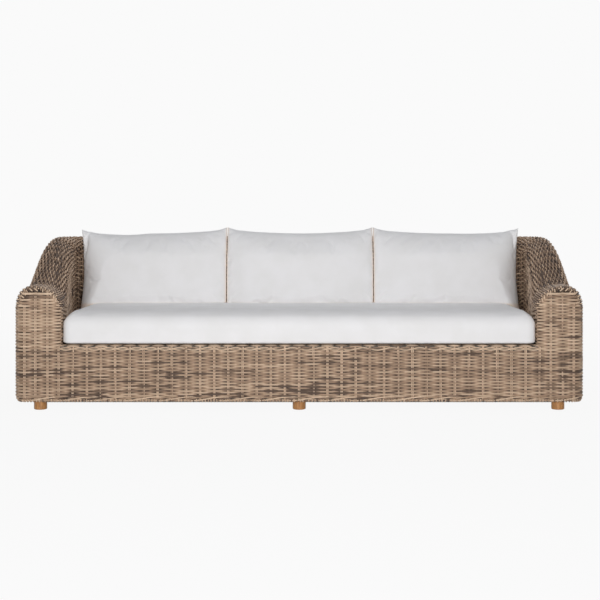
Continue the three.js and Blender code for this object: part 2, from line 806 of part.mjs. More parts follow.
// A cushion: cover with a zip slot in its rear face, filling, zip and slider
function addCushion(name, form, middleX, zipZ, zipLength, rearFace) {
  const half = zipLength / 2;
  const slotHalf = zipTape / 2;
  const slot = (grow, depth) =>
    box(
      middleX - half - grow,
      middleX + half + grow,
      rearFace - depth,
      rearFace + cutOverrun,
      zipZ - slotHalf - grow,
      zipZ + slotHalf + grow,
    );
  add(name + "_cover", cut(form(0), form(cloth), slot(fit, grooveDepth)), "cloth");
  add(name + "_filling", cut(form(cloth + fit), slot(2 * fit, grooveDepth)), "foam");
  const tapeTop = rearFace - zipDepth;
  const tape = box(
    middleX - half,
    middleX + half,
    tapeTop - zipThickness,
    tapeTop,
    zipZ - slotHalf,
    zipZ + slotHalf,
  );
  add(name + "_zip", tape, "zip");
  const end = middleX + half;
  const slider = box(
    end - sliderLength,
    end,
    tapeTop + fit,
    tapeTop + fit + sliderThickness,
    zipZ - sliderHeight / 2,
    zipZ + sliderHeight / 2,
  );
  add(name + "_zip_slider", slider, "slider");
}

function addCushions() {
  const seatMiddle = deckHeight + seatCushionHeight / 2;
  addCushion("seat_cushion", boxedForm, 0, seatMiddle, seatZipLength, backFace - seatRearGap);
  const zipZ = seatTop + seatCrown + backZipRise;
  const names = ["left", "centre", "right"];
  for (let k = 0; k < backCushionCount; k++) {
    const middleX = (k - (backCushionCount - 1) / 2) * (backCushionWidth + backCushionGap);
    const form = (inset) => pillowForm(middleX, inset);
    addCushion("back_cushion_" + names[k], form, middleX, zipZ, backZipLength, backFace - fit);
  }
}

addFeet();
addBaseHoop();
addSeatFrame();
addUpperFrame();
addWeave();
addCushions();

export default sofa;
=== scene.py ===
# %% [markdown]
# # A woven garden sofa
# The sofa is a long tub of round cane woven on upright stakes, over an aluminium frame, on six
# short teak feet, with one seat cushion and three loose back cushions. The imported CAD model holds
# the frame, the feet and the zips as they are made. What Blender adds is the weave itself, cane by
# cane, the sewn cloth of the cushions, and the finish of every surface.
# The first cell loads the CAD model. Its objects stay where they are, so every new piece below is
# built in the same metres and the same axes: X to the right, Y to the back, Z up.

import math

import bpy
import numpy as np
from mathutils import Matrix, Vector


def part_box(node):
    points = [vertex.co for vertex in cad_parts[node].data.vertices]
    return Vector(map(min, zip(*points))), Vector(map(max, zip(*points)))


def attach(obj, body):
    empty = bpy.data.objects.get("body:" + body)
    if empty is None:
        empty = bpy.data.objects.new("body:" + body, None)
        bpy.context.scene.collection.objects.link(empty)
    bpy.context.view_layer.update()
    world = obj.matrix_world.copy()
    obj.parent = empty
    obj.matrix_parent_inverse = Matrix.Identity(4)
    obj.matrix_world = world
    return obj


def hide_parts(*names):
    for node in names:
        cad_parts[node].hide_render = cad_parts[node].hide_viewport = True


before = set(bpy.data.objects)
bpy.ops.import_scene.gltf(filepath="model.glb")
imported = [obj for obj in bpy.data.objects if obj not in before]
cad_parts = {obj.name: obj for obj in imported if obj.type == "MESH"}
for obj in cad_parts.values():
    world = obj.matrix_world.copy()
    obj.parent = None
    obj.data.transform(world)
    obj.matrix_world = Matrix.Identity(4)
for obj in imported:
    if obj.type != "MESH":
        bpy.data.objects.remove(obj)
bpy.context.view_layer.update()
scene = bpy.context.scene

# %% [markdown]
# The photograph was taken from straight in front, 0.85 m above the ground and about 5.5 m away
# from the front of the sofa, with a level camera. A level camera keeps upright lines upright, so
# the height of the sofa in the picture is set by a small lens shift instead of by a tilt. The
# camera comes first because every later choice is judged through it.

# %% Camera
CAMERA_PLACE = (0.035, -5.975, 0.85)
FOCAL_LENGTH = 72.41
SENSOR_WIDTH = 36.0
LENS_SHIFT = (-0.0114, -0.127)

camera = bpy.data.objects.new("camera", bpy.data.cameras.new("camera"))
camera.data.lens = FOCAL_LENGTH
camera.data.sensor_width = SENSOR_WIDTH
camera.data.shift_x, camera.data.shift_y = LENS_SHIFT
camera.location = CAMERA_PLACE
camera.rotation_euler = (math.pi / 2, 0.0, 0.0)
scene.collection.objects.link(camera)
scene.camera = camera
print("camera at", CAMERA_PLACE, "with a lens of", FOCAL_LENGTH, "mm")

# %% [markdown]
# A few small helpers serve every material below. Colours are written as the sRGB hex values that
# one would pick on a screen, and one function turns them into the linear values that the shaders
# work in. Another adds any shader node: its inputs are given by name, each as a value or as the
# output that feeds it, and a colour ramp is given by its stops.


# %% Helpers for colours and nodes
def linear(hex_colour):
    channels = [int(hex_colour[i : i + 2], 16) / 255 for i in (1, 3, 5)]
    return [c / 12.92 if c <= 0.04045 else ((c + 0.055) / 1.055) ** 2.4 for c in channels] + [1.0]


def add_node(tree, kind, inputs=None, stops=None, **settings):
    node = tree.nodes.new("ShaderNode" + kind)
    for name, value in settings.items():
        setattr(node, name, value)
    for name, value in (inputs or {}).items():
        if isinstance(value, bpy.types.NodeSocket):
            tree.links.new(value, node.inputs[name])
        else:
            node.inputs[name].default_value = value
    if stops:
        ramp = node.color_ramp.elements
        while len(ramp) < len(stops):
            ramp.new(1.0)
        for element, (place, colour) in zip(ramp, stops):
            element.position = place
            element.color = linear(colour) if isinstance(colour, str) else (colour,) * 3 + (1.0,)
    return node


def new_finish(name):
    material = bpy.data.materials.new(name)
    material.use_nodes = True
    tree = material.node_tree
    return material, tree, tree.nodes["Principled BSDF"]


print("middle grey in linear light:", round(linear("#808080")[0], 3))

# %% [markdown]
# Every piece of the scene is a mesh that is worked out from numbers, because a woven wall is too
# regular and too fine to model by hand. One function turns points and faces into an object, and
# one stores a value at every point, which a material can read later.


# %% Helpers for meshes
def mesh_object(name, points, faces, material, smooth=True):
    mesh = bpy.data.meshes.new(name)
    mesh.from_pydata([tuple(p) for p in points], [], [tuple(int(i) for i in f) for f in faces])
    mesh.polygons.foreach_set("use_smooth", [smooth] * len(mesh.polygons))
    mesh.materials.append(material)
    mesh.update()
    made = bpy.data.objects.new(name, mesh)
    scene.collection.objects.link(made)
    return made


def store_values(mesh, name, values):
    """Keeps one number, or three, for every point of a mesh."""
    values = np.asarray(values, np.float32)
    kind, field = ("FLOAT", "value") if values.ndim == 1 else ("FLOAT_VECTOR", "vector")
    mesh.attributes.new(name, kind, "POINT")
    mesh.attributes[name].data.foreach_set(field, values.ravel())


def unit(vectors):
    return vectors / np.maximum(np.linalg.norm(vectors, axis=-1, keepdims=True), 1e-12)


def upright(plan, heights):
    """Points from places in plan and their heights: one place or one height may serve all."""
    heights = np.asarray(heights, float)
    shape = np.broadcast_shapes(plan.shape[:-1], heights.shape)
    plan = np.broadcast_to(plan, shape + (2,))
    return np.concatenate([plan, np.broadcast_to(heights, shape)[..., None]], -1)


print("a unit vector:", unit(np.array([3.0, 4.0, 0.0])))

# %% [markdown]
# The woven body follows the CAD skin, so the script repeats the skin's own formulas. A place
# along the wall is a "run": the distance in plan from the front of the left arm, back along the
# arm, round the rear corner and along the back to the middle, after which the wall is mirrored.
# At each run the wall has an outer line, an inner line and a height. The arm is low in front and
# sweeps up to the height of the back. All sizes are in metres, as they were measured for the CAD
# model, so the weave lies exactly where the collision solids are.

# %% The sizes of the wall
HALF_WIDTH, HALF_DEPTH = 1.300, 0.475
DECK_HEIGHT = 0.300
ARM_FRONT_HEIGHT, BACK_HEIGHT = 0.564, 0.780
ARM_FRONT_WIDTH, ARM_REAR_WIDTH, BACK_THICKNESS = 0.213, 0.150, 0.120
# the sweep of the arm: where it starts and ends behind the front, and how early it rises
SWOOP_START, SWOOP_END, SWOOP_POWER = 0.200, 0.780, 0.8
FRONT_OUTER_RADIUS, FRONT_INNER_RADIUS = 0.045, 0.025
# the rear corner: its radius outside and inside, and the one along which runs are measured
REAR_RADIUS, INNER_RADIUS, MIDDLE_RADIUS = 0.140, 0.180, 0.240
CORNER_X, CORNER_Y = HALF_WIDTH - ARM_REAR_WIDTH - INNER_RADIUS, 0.175
ARM_RUN = CORNER_Y + HALF_DEPTH
CORNER_RUN = math.pi / 2 * MIDDLE_RADIUS
HALF_RUN = ARM_RUN + CORNER_RUN + CORNER_X
BACK_FACE = HALF_DEPTH - BACK_THICKNESS
print("half run of the wall:", round(HALF_RUN, 4))

# %% [markdown]
# The rear corner is rounder inside than outside, so the wall is thick there. A ray that turns
# about the corner's inner centre meets the straight side, the outer rounding or the straight
# rear, and the nearest of these is the outer line.


# %% The outer line, the inner line and the height
def ease(k):
    k = np.clip(k, 0.0, 1.0)
    return k * k * (3 - 2 * k)


def wall(run):
    """Outer line, inner line and crest height at each run."""
    run = np.asarray(run, float)
    near = np.minimum(run, 2 * HALF_RUN - run)
    arm_y = near - HALF_DEPTH
    arm_width = ARM_FRONT_WIDTH + (ARM_REAR_WIDTH - ARM_FRONT_WIDTH) * ease(near / ARM_RUN)
    angle = np.clip((near - ARM_RUN) / CORNER_RUN, 0, 1) * math.pi / 2
    ray = np.stack([-np.cos(angle), np.sin(angle)], -1)
    to_side = (HALF_WIDTH - CORNER_X) / np.maximum(-ray[..., 0], 1e-9)
    to_rear = (HALF_DEPTH - CORNER_Y) / np.maximum(ray[..., 1], 1e-9)
    centre = np.array([-(HALF_WIDTH - REAR_RADIUS), HALF_DEPTH - REAR_RADIUS])
    offset = np.array([-CORNER_X, CORNER_Y]) - centre
    along = ray @ offset
    round_reach = np.sqrt(np.maximum(along**2 - offset @ offset + REAR_RADIUS**2, 0)) - along
    side_y = CORNER_Y + to_side * ray[..., 1]
    rear_x = -CORNER_X + to_rear * ray[..., 0]
    reach = np.where(
        side_y <= centre[1], to_side, np.where(rear_x >= centre[0], to_rear, round_reach)
    )
    back_x = near - ARM_RUN - CORNER_RUN - CORNER_X
    on_arm, on_corner = near <= ARM_RUN, near < ARM_RUN + CORNER_RUN
    outer_x = np.where(
        on_arm, -HALF_WIDTH, np.where(on_corner, -CORNER_X + reach * ray[..., 0], back_x)
    )
    outer_y = np.where(
        on_arm, arm_y, np.where(on_corner, CORNER_Y + reach * ray[..., 1], HALF_DEPTH)
    )
    inner_x = np.where(
        on_arm,
        arm_width - HALF_WIDTH,
        np.where(on_corner, -CORNER_X + INNER_RADIUS * ray[..., 0], back_x),
    )
    inner_y = np.where(
        on_arm, arm_y, np.where(on_corner, CORNER_Y + INNER_RADIUS * ray[..., 1], BACK_FACE)
    )
    swoop = np.clip((outer_y + HALF_DEPTH - SWOOP_START) / (SWOOP_END - SWOOP_START), 0, 1)
    height = ARM_FRONT_HEIGHT + (BACK_HEIGHT - ARM_FRONT_HEIGHT) * ease(swoop**SWOOP_POWER)
    height = np.where(near >= ARM_RUN + CORNER_RUN, BACK_HEIGHT, height)
    side = np.where(run > HALF_RUN, -1.0, 1.0)
    outer = np.stack([outer_x * side, outer_y], -1)
    inner = np.stack([inner_x * side, inner_y], -1)
    return outer, inner, height


print("height beside the seat:", np.round(wall(np.array([0.0, 0.3, 0.6, HALF_RUN]))[2], 3))

# %% [markdown]
# The top of the wall, the crest, is a rounded cap: two quarter ovals that meet at the ridge, the
# outer one wider and lower than the inner one. Towards the front of the arm it draws in by the
# radius of the front edges, so that it ends as a soft nose and not as a cut. A place on the
# crest is a run and a share of the way across, measured along the curve, so that canes that
# share the crest evenly lie evenly on it.

# %% The rounded crest
CREST_SHARE, OUTER_DROP, INNER_DROP, ROUND_POWER = 0.37, 0.44, 0.5, 2.15
ROUND_BEND = 2 / ROUND_POWER
# how far across the front edges' draw reaches, and how fast it fades there
EDGE_PULL, EDGE_FADE = 0.36, 1.5


def edge_draw(distance, radius):
    """How far a rounded edge has drawn in at a distance from its start."""
    distance = np.clip(distance, 0, radius)
    return radius - np.sqrt(radius**2 - (radius - distance) ** 2)


def crest_table():
    """Angle round the crest against the share of its length, measured once on a wall 1 m wide."""
    angle = np.linspace(0, math.pi, 721)
    sine, cosine = np.abs(np.sin(angle)) ** ROUND_BEND, np.abs(np.cos(angle)) ** ROUND_BEND
    first = angle <= math.pi / 2
    over = np.where(first, CREST_SHARE * (1 - cosine), CREST_SHARE + (1 - CREST_SHARE) * cosine)
    z = np.where(first, OUTER_DROP, INNER_DROP) * (sine - 1)
    length = np.concatenate([[0], np.cumsum(np.hypot(np.diff(over), np.diff(z)))])
    return angle, length / length[-1], length[-1]


CREST_ANGLES, CREST_SHARES, CREST_LENGTH = crest_table()


def crest(run, share):
    """A point of the rounded crest: share runs from 0 at the outer shoulder to 1 at the inner."""
    outer, inner, height = wall(run)
    near = np.minimum(run, 2 * HALF_RUN - run)
    outer_draw = edge_draw(near, FRONT_OUTER_RADIUS)
    inner_draw = edge_draw(near, FRONT_INNER_RADIUS)
    across = inner - outer
    full = np.linalg.norm(across, axis=-1)
    width = full - outer_draw - inner_draw
    top = height - inner_draw
    angle = np.interp(share, CREST_SHARES, CREST_ANGLES)
    first = angle <= math.pi / 2
    cosine = np.abs(np.cos(angle)) ** ROUND_BEND
    wide = np.where(first, CREST_SHARE * (1 - cosine), CREST_SHARE + (1 - CREST_SHARE) * cosine) * full
    from_outer, from_inner = wide / (EDGE_PULL * full), 1 - (1 - wide / full) / EDGE_PULL
    place = wide + outer_draw * np.clip(1 - from_outer, 0, 1) ** EDGE_FADE
    place = place - inner_draw * np.clip(from_inner, 0, 1) ** EDGE_FADE
    over = np.clip((place - outer_draw) / width, 0, 1)
    first = over <= CREST_SHARE
    cosine = np.where(first, 1 - over / CREST_SHARE, (over - CREST_SHARE) / (1 - CREST_SHARE))
    sine = np.clip(1 - np.clip(cosine, 0, 1) ** ROUND_POWER, 0, 1) ** (1 / ROUND_POWER)
    drop = np.where(first, OUTER_DROP, INNER_DROP) * width
    z = top - drop + drop * sine
    plan = outer + across / full[..., None] * place[..., None]
    return np.concatenate([plan, z[..., None]], -1)


print("crest length per width:", round(CREST_LENGTH, 3))

# %% [markdown]
# The cane is a round synthetic fibre about 7 mm thick, moulded in light tan with darker
# grey-brown stretches, so that it looks like weathered natural rattan. Woven cane could be drawn
# as a bump pattern on a smooth skin, but then its edge, its holes and its shadows would be
# missing. Here every cane is a real tube that goes in front of one stake and behind the next.
#
# This cell says how a cane runs through the weave. It swings in and out as a wave, it wanders a
# little from its level, and where it is pressed behind a stake it lies flatter and wider, so
# that hardly any daylight shows between the rows.

# %% How a cane runs through the weave
STEPS_PER_STAKE = 6
ROW_OVAL = 1.27
BEHIND_SHARE, BEHIND_SPREAD, FRONT_NARROWING = 0.55, 0.34, 0.06
CREVICE_SHADE_DEPTH, CREVICE_SHADE_POWER = 0.62, 1.2
# the slow waves of a row: their length in metres, size in mm, and shift from row to row
WANDER_WAVES = ((0.31, 0.5, 0.21), (0.57, 0.8, -0.16), (1.3, 1.1, 0.12))
seed_count = 0


def next_random():
    global seed_count
    seed_count += 1
    return np.random.default_rng(4100 + seed_count)


def wander(along, row):
    """How far a row strays from its level. Neighbouring rows stray together, so none part."""
    return sum(
        size * 0.001 * np.sin(2 * math.pi * along / length + drift * row + 1.7 * place)
        for place, (length, size, drift) in enumerate(WANDER_WAVES)
    )


def crevice_shade(wave):
    """Painted shade: cane is drawn darker where it dips behind a stake, where shade falls."""
    return CREVICE_SHADE_DEPTH * np.clip(-wave, 0, 1) ** CREVICE_SHADE_POWER


def woven_wave(wave):
    """Swing of a cane that is beaten flat against the stakes behind the weave."""
    return np.where(wave > 0, wave, BEHIND_SHARE * wave)


def woven_width(wave):
    """The same cane spreads where it is pressed behind a stake."""
    return 1 - FRONT_NARROWING * np.clip(wave, 0, 1) + BEHIND_SPREAD * np.clip(-wave, 0, 1)


print("a row strays by up to", round(sum(size for length, size, drift in WANDER_WAVES), 1), "mm")

# %% [markdown]
# The colour of real cane changes along its length: long light stretches, and shorter dark ones
# where the skin has weathered. The tone of each cane is drawn as such a list of stretches from
# seeded random numbers, and is kept with the cane. All canes are plain arrays first: points along
# the middle, the direction that faces out, the radius and the tone.

# %% One cane
DARK_SHARE = 0.24
DARK_LENGTHS, LIGHT_LENGTHS = (0.06, 0.25), (0.1, 0.5)
DARK_TONES, LIGHT_TONES = (0.55, 1.0), (0.0, 0.38)
TONE_BLEND = 0.008


def cane_tone(along, random):
    """How dark the cane is along its length: 0 is light tan, 1 the darkest stretch."""
    ends, tones = [-random.uniform(0, 0.3)], []
    while ends[-1] < along[-1]:
        dark = random.random() < DARK_SHARE
        ends.append(ends[-1] + random.uniform(*(DARK_LENGTHS if dark else LIGHT_LENGTHS)))
        tones.append(random.uniform(*(DARK_TONES if dark else LIGHT_TONES)))
    places = np.repeat(ends, 2)[1:-1] + np.tile([TONE_BLEND, -TONE_BLEND], len(tones))
    return np.interp(along, places, np.repeat(tones, 2))


def cane(points, facing, radius, random, base_tone=0.0, oval=1.0):
    """One cane: its middle line, the way out of the weave, its radius, tone and flatness."""
    points = np.asarray(points, float)
    steps = np.linalg.norm(np.diff(points, axis=0), axis=1)
    along = np.concatenate([[0], np.cumsum(steps)])
    return {
        "points": points,
        "facing": np.broadcast_to(facing, points.shape).astype(float),
        "radius": np.broadcast_to(radius, len(points)).astype(float),
        "along": along,
        "tone": np.clip(cane_tone(along, random) + base_tone, 0, 1),
        "mark": random.random(),
        "oval": oval,
    }


trial = cane([(0, 0, 0), (1, 0, 0)], (0, 0, 1), 0.0035, np.random.default_rng(1))
print("a trial cane:", trial["along"][-1], "m long, tones", np.round(trial["tone"], 2))

# %% [markdown]
# A list of canes becomes one mesh. Six sides are enough for a cane that is a pixel or two wide,
# because the faces are shaded smooth. The map that a bake needs is laid out as one strip for each
# cane, on long shelves, because an automatic unwrap of some sixteen hundred thin tubes would take
# far longer and waste most of the map.

# %% The rings of a cane and its strip on the map
CANE_SIDES = 6
STRIP_GAP, SHELF_MARGIN, LEAST_SHELVES = 0.004, 0.06, 90


def cane_rings(one):
    """A ring of points round the cane at each of its points."""
    points = one["points"]
    tangent = unit(np.gradient(points, axis=0))
    out = unit(one["facing"] - np.sum(one["facing"] * tangent, -1, keepdims=True) * tangent)
    across = np.cross(tangent, out)
    turn = np.arange(CANE_SIDES) * 2 * math.pi / CANE_SIDES + math.pi / CANE_SIDES
    wide, deep = one["oval"], 2 - one["oval"]
    ring = (wide * np.cos(turn))[None, :, None] * across[:, None]
    ring = ring + (deep * np.sin(turn))[None, :, None] * out[:, None]
    return points[:, None] + ring * one["radius"][:, None, None]


def lay_on_shelves(lengths, shelf_length):
    """Shelf and start of each strip, filled from the left, and the number of shelves."""
    shelf, used, places = 0, 0.0, []
    for length in lengths:
        if used + length > shelf_length:
            shelf, used = shelf + 1, 0.0
        places.append((shelf, used))
        used += length + STRIP_GAP
    return places, shelf + 1


print("points round a trial cane:", cane_rings(trial).shape)

# %% [markdown]
# A piece has from four to some five hundred canes. Blender could join them as objects, but that is
# slow, so their points and faces are worked out as arrays and written into one mesh. The ends
# are closed, so that no cane is an open pipe. Every point keeps the tone of its cane and its
# place along and round it, because the finish reads them.

# %% Many canes as one mesh
def tube_arrays(canes):
    """Points and faces of all canes, the rings that close their ends, and their stored values."""
    lengths = [one["along"][-1] for one in canes]
    strip = max(max(lengths), sum(lengths) / LEAST_SHELVES) * 1.02
    places, shelves = lay_on_shelves(lengths, strip)
    across_strip = SHELF_MARGIN + (1 - 2 * SHELF_MARGIN) * np.arange(CANE_SIDES + 1) / CANE_SIDES
    points, quads, quad_uv, caps, cap_uv, tones, grains = [], [], [], [], [], [], []
    base = 0
    for one, (shelf, start) in zip(canes, places):
        rings = cane_rings(one)
        count = len(rings)
        points.append(rings.reshape(-1, 3))
        tones.append(np.repeat(one["tone"], CANE_SIDES))
        around = np.tile(np.arange(CANE_SIDES) / CANE_SIDES, count)
        mark = np.full(count * CANE_SIDES, one["mark"])
        grains.append(np.stack([np.repeat(one["along"], CANE_SIDES), around, mark], -1))
        i, j = np.meshgrid(np.arange(count - 1), np.arange(CANE_SIDES), indexing="ij")
        here, ahead, after = i * CANE_SIDES, (i + 1) * CANE_SIDES, (j + 1) % CANE_SIDES
        corners = np.stack([here + j, ahead + j, ahead + after, here + after], -1)
        quads.append(corners.reshape(-1, 4) + base)
        u = (start + one["along"]) / strip
        v = (shelf + across_strip) / shelves
        corner_u = np.stack([u[i], u[i + 1], u[i + 1], u[i]], -1)
        corner_v = np.stack([v[j], v[j], v[j + 1], v[j + 1]], -1)
        quad_uv.append(np.stack([corner_u, corner_v], -1).reshape(-1, 2))
        first_ring = base + np.arange(CANE_SIDES)
        caps += [first_ring, (first_ring + (count - 1) * CANE_SIDES)[::-1]]
        cap_uv += [[u[0], v[0]]] * CANE_SIDES + [[u[-1], v[0]]] * CANE_SIDES
        base += count * CANE_SIDES
    return {
        "points": np.concatenate(points),
        "quads": np.concatenate(quads),
        "caps": caps,
        "map": np.concatenate(quad_uv + [cap_uv]),
        "tone": np.concatenate(tones),
        "grain": np.concatenate(grains),
    }


def cane_object(name, canes, material):
    """One mesh of many canes, with their tone and grain, and a map of one strip per cane."""
    tubes = tube_arrays(canes)
    quads, caps = tubes["quads"], tubes["caps"]
    loops = np.concatenate([quads.reshape(-1)] + caps)
    quad_starts = np.arange(len(quads)) * 4
    starts = np.concatenate([quad_starts, quads.size + np.arange(len(caps)) * CANE_SIDES])
    mesh = bpy.data.meshes.new(name)
    mesh.vertices.add(len(tubes["points"]))
    mesh.vertices.foreach_set("co", tubes["points"].ravel())
    mesh.loops.add(len(loops))
    mesh.loops.foreach_set("vertex_index", loops)
    mesh.polygons.add(len(starts))
    mesh.polygons.foreach_set("loop_start", starts)
    mesh.polygons.foreach_set("use_smooth", np.arange(len(starts)) < len(quads))
    mesh.update(calc_edges=True)
    mesh.uv_layers.new(name="OFBake")
    mesh.uv_layers["OFBake"].data.foreach_set("uv", tubes["map"].ravel())
    store_values(mesh, "tone", tubes["tone"])
    store_values(mesh, "grain", tubes["grain"])
    mesh.validate()
    mesh.materials.append(material)
    made = bpy.data.objects.new(name, mesh)
    scene.collection.objects.link(made)
    length = sum(one["along"][-1] for one in canes)
    triangles = len(quads) * 2 + len(caps) * (CANE_SIDES - 2)
    print(name, len(canes), "canes", round(length, 1), "m", triangles, "triangles")
    return made


print("faces of a trial cane:", (len(trial["along"]) - 1) * CANE_SIDES + 2)

# %% [markdown]
# Synthetic cane is extruded polyethylene: a satin plastic with a fine lengthwise grain and a
# colour that was streaked on purpose. To the eye it is matt, with a soft broad shine along each
# cane. The grain runs along the cane, so the pattern reads the distance along it and the angle
# round it, which the tubes carry. Polyethylene has an index of refraction of 1.5, and a weathered
# satin skin scatters at a roughness of about 0.55.
#
# The real grain is about 0.2 mm wide. That is too fine to show in the render, so it is drawn
# 3.6 mm wide and 45 mm long, in lines that break off and start again.

# %% Finish of the cane
CANE_LIGHT, CANE_MIDDLE, CANE_DARK = "#dcc1a6", "#a88c74", "#513f33"
CANE_GIRTH = 0.020
CANE_GRAIN_LENGTH, CANE_GRAIN_WIDTH = 0.045, 0.0036
STREAK_SHIFT = 0.13

cane_finish, tree, shader = new_finish("streaked_polyethylene_cane")
tone = add_node(tree, "Attribute", attribute_name="tone")
grain = add_node(tree, "Attribute", attribute_name="grain")
parts = add_node(tree, "SeparateXYZ", {"Vector": grain.outputs["Vector"]})
stretched = {}
for axis, factor in (
    ("X", 1 / CANE_GRAIN_LENGTH),
    ("Y", CANE_GIRTH / CANE_GRAIN_WIDTH),
    ("Z", 977.0),  # another part of the pattern for every cane
):
    scaled = add_node(tree, "Math", {0: parts.outputs[axis], 1: factor}, operation="MULTIPLY")
    stretched[axis] = scaled.outputs[0]
place = add_node(tree, "CombineXYZ", stretched)
streaks = add_node(
    tree, "TexNoise", {"Vector": place.outputs[0], "Scale": 1.0, "Detail": 3.0, "Roughness": 0.6}
)
streak_shift = add_node(
    tree,
    "MapRange",
    {"Value": streaks.outputs[0], "From Min": 0.3, "From Max": 0.7,
     "To Min": -STREAK_SHIFT, "To Max": STREAK_SHIFT},
)
shade = add_node(
    tree, "Math", {0: tone.outputs["Fac"], 1: streak_shift.outputs[0]}, operation="ADD", use_clamp=True
)
colour = add_node(
    tree,
    "ValToRGB",
    {"Fac": shade.outputs[0]},
    stops=[(0.0, CANE_LIGHT), (0.45, CANE_MIDDLE), (1.0, CANE_DARK)],
)
tree.links.new(colour.outputs[0], shader.inputs["Base Color"])
relief = add_node(
    tree, "Bump", {"Strength": 0.5, "Distance": 0.0004, "Height": streaks.outputs[0]}
)
tree.links.new(relief.outputs[0], shader.inputs["Normal"])
shader.inputs["Roughness"].default_value = 0.55
shader.inputs["IOR"].default_value = 1.5
print(cane_finish.name, "light", [round(c, 3) for c in linear(CANE_LIGHT)[:3]])

# %% [markdown]
# The upright stakes are pairs of canes. They stand about 65 mm apart along the front and back,
# 60 mm apart along the arms, and fan out round the rear corners. A stake is numbered along the
# wall, so that a row of weaving can be written as a wave over the stake numbers: in front of an
# even stake, behind an odd one, and the next row the other way round.

# %% Where the stakes stand
ROW_PITCH = 0.007195
CANE_RADIUS = 0.5 * ROW_PITCH
WEAVE_IN, WEAVE_SWING = 0.0040, 0.0050
EDGE_RUN, ROW_START = 0.045, 0.062

arm_stakes = np.linspace(EDGE_RUN, ARM_RUN, 11)
corner_stakes = np.linspace(ARM_RUN, ARM_RUN + CORNER_RUN, 9)[1:]
back_stakes = np.linspace(ARM_RUN + CORNER_RUN, HALF_RUN, 16)[1:]
half_stakes = np.concatenate([arm_stakes, corner_stakes, back_stakes])
WALL_STAKES = np.concatenate([half_stakes, 2 * HALF_RUN - half_stakes[-2::-1]])
WALL_LAST = len(WALL_STAKES) - 1
wall_sigma = np.arange(WALL_LAST * STEPS_PER_STAKE + 1) / STEPS_PER_STAKE
wall_runs = np.interp(wall_sigma, np.arange(WALL_LAST + 1), WALL_STAKES)


def plan_normal(plan):
    tangent = unit(np.gradient(plan, axis=0))
    return np.stack([-tangent[:, 1], tangent[:, 0], np.zeros(len(plan))], -1)


outer_line, inner_line, wall_height = wall(wall_runs)
outer_normal = plan_normal(outer_line)
inner_normal = -plan_normal(inner_line)
wall_thickness = np.linalg.norm(inner_line - outer_line, axis=1)
outer_shoulder = wall_height - OUTER_DROP * wall_thickness
inner_shoulder = wall_height - INNER_DROP * wall_thickness
print("stakes along the wall:", WALL_LAST + 1)

# %% [markdown]
# A wall that grows from 0.56 m to 0.78 m needs more rows at the back than in front. A weaver
# packs in short rows for that, always in pairs so that over and under still alternate. Each
# pair has a weight that grows from 0 to 1 at its own place along the sweep, and the rows share
# the height in proportion to their weights.

# %% Rows that share the height
GROWTH_SPREAD, LEAST_WEIGHT = 0.2, 0.25


def row_plan(base_rows, extra_pairs, fullness, seed):
    """Middle of every row as a share of the height, with its weight, along the wall."""
    random = np.random.default_rng(seed)
    thresholds = GROWTH_SPREAD / 2 + (1 - GROWTH_SPREAD) * (np.arange(extra_pairs) + 0.5) / extra_pairs
    random.shuffle(thresholds)
    after = np.round((np.arange(extra_pairs) + 0.5) * base_rows / extra_pairs).astype(int)
    weights = []
    for row in range(base_rows):
        for pair in np.nonzero(after == row)[0]:
            grown = ease((fullness - thresholds[pair]) / GROWTH_SPREAD + 0.5)
            weights += [grown, grown]
        weights.append(np.ones(len(fullness)))
    weights = np.array(weights)
    total = weights.sum(0)
    middles = (np.cumsum(weights, 0) - weights / 2) / total
    return middles, weights, total


def fullness_of(length, base_rows, extra_pairs, pitch=ROW_PITCH):
    return np.clip((length / pitch - base_rows) / (2 * extra_pairs), 0, 1)


def split_where(mask):
    """Start and end of each stretch of True, as index ranges of at least four points."""
    edges = np.diff(np.concatenate([[0], mask.astype(int), [0]]))
    starts, ends = np.nonzero(edges == 1)[0], np.nonzero(edges == -1)[0]
    return [(a, b) for a, b in zip(starts, ends) if b - a > 4]


print("stretches of a test mask:", split_where(np.arange(20) % 10 > 3))

# %% [markdown]
# One function weaves every face of the wall. A face is a grid of points, one line for each row,
# with the direction out of the wall, the stake numbers, and how closely its rows are packed. The
# rows of the outer face are tight. The crest and the inner face are an open weave of finer,
# rounder cane in which each strand can be told from the next, and "loose" says so.


# %% Weaving one face
def weave_rows(face, first, last, **changes):
    """Cuts the rows of one face out of its surface points, as canes between two stakes."""
    face = dict(face, **changes)
    sigma, loose, surface, normals = face["sigma"], face["loose"], face["surface"], face["normals"]
    lift = unit(np.gradient(surface, axis=0))
    tone = np.broadcast_to(face["tone"], sigma.shape)
    row_radius = np.minimum(face["packing"] * face["pitch"], face["top_radius"])
    span = slice(first * STEPS_PER_STAKE, last * STEPS_PER_STAKE + 1)
    canes = []
    for row, weights in enumerate(face["weights"]):
        random = np.random.default_rng(face["seed"] + row)
        wave = np.cos(math.pi * (sigma + row + face["parity"]))
        swing = WEAVE_SWING * (1 + random.uniform(-0.1, 0.1))
        depth = swing * ((1 - loose) * woven_wave(wave) + loose * wave)
        middle = surface[row] + normals[row] * (depth - face["sink"])[:, None]
        middle += lift[row] * wander(sigma * 0.062, row)[:, None]
        thick = row_radius * (0.35 + 0.65 * weights) * (1 + random.uniform(-0.03, 0.03))
        thick = thick * (loose + (1 - loose) * woven_width(wave))
        for a, b in split_where(weights[span] > LEAST_WEIGHT):
            a, b = a + span.start, b + span.start
            # painted shade in the dips behind the stakes, twice as strong in the open weave, plus the
            # face's tone
            dark = (1 + loose) * crevice_shade(wave[a:b]) + tone[a:b]
            canes.append(cane(middle[a:b], normals[row][a:b], thick[a:b], random, dark, face["oval"]))
    return canes


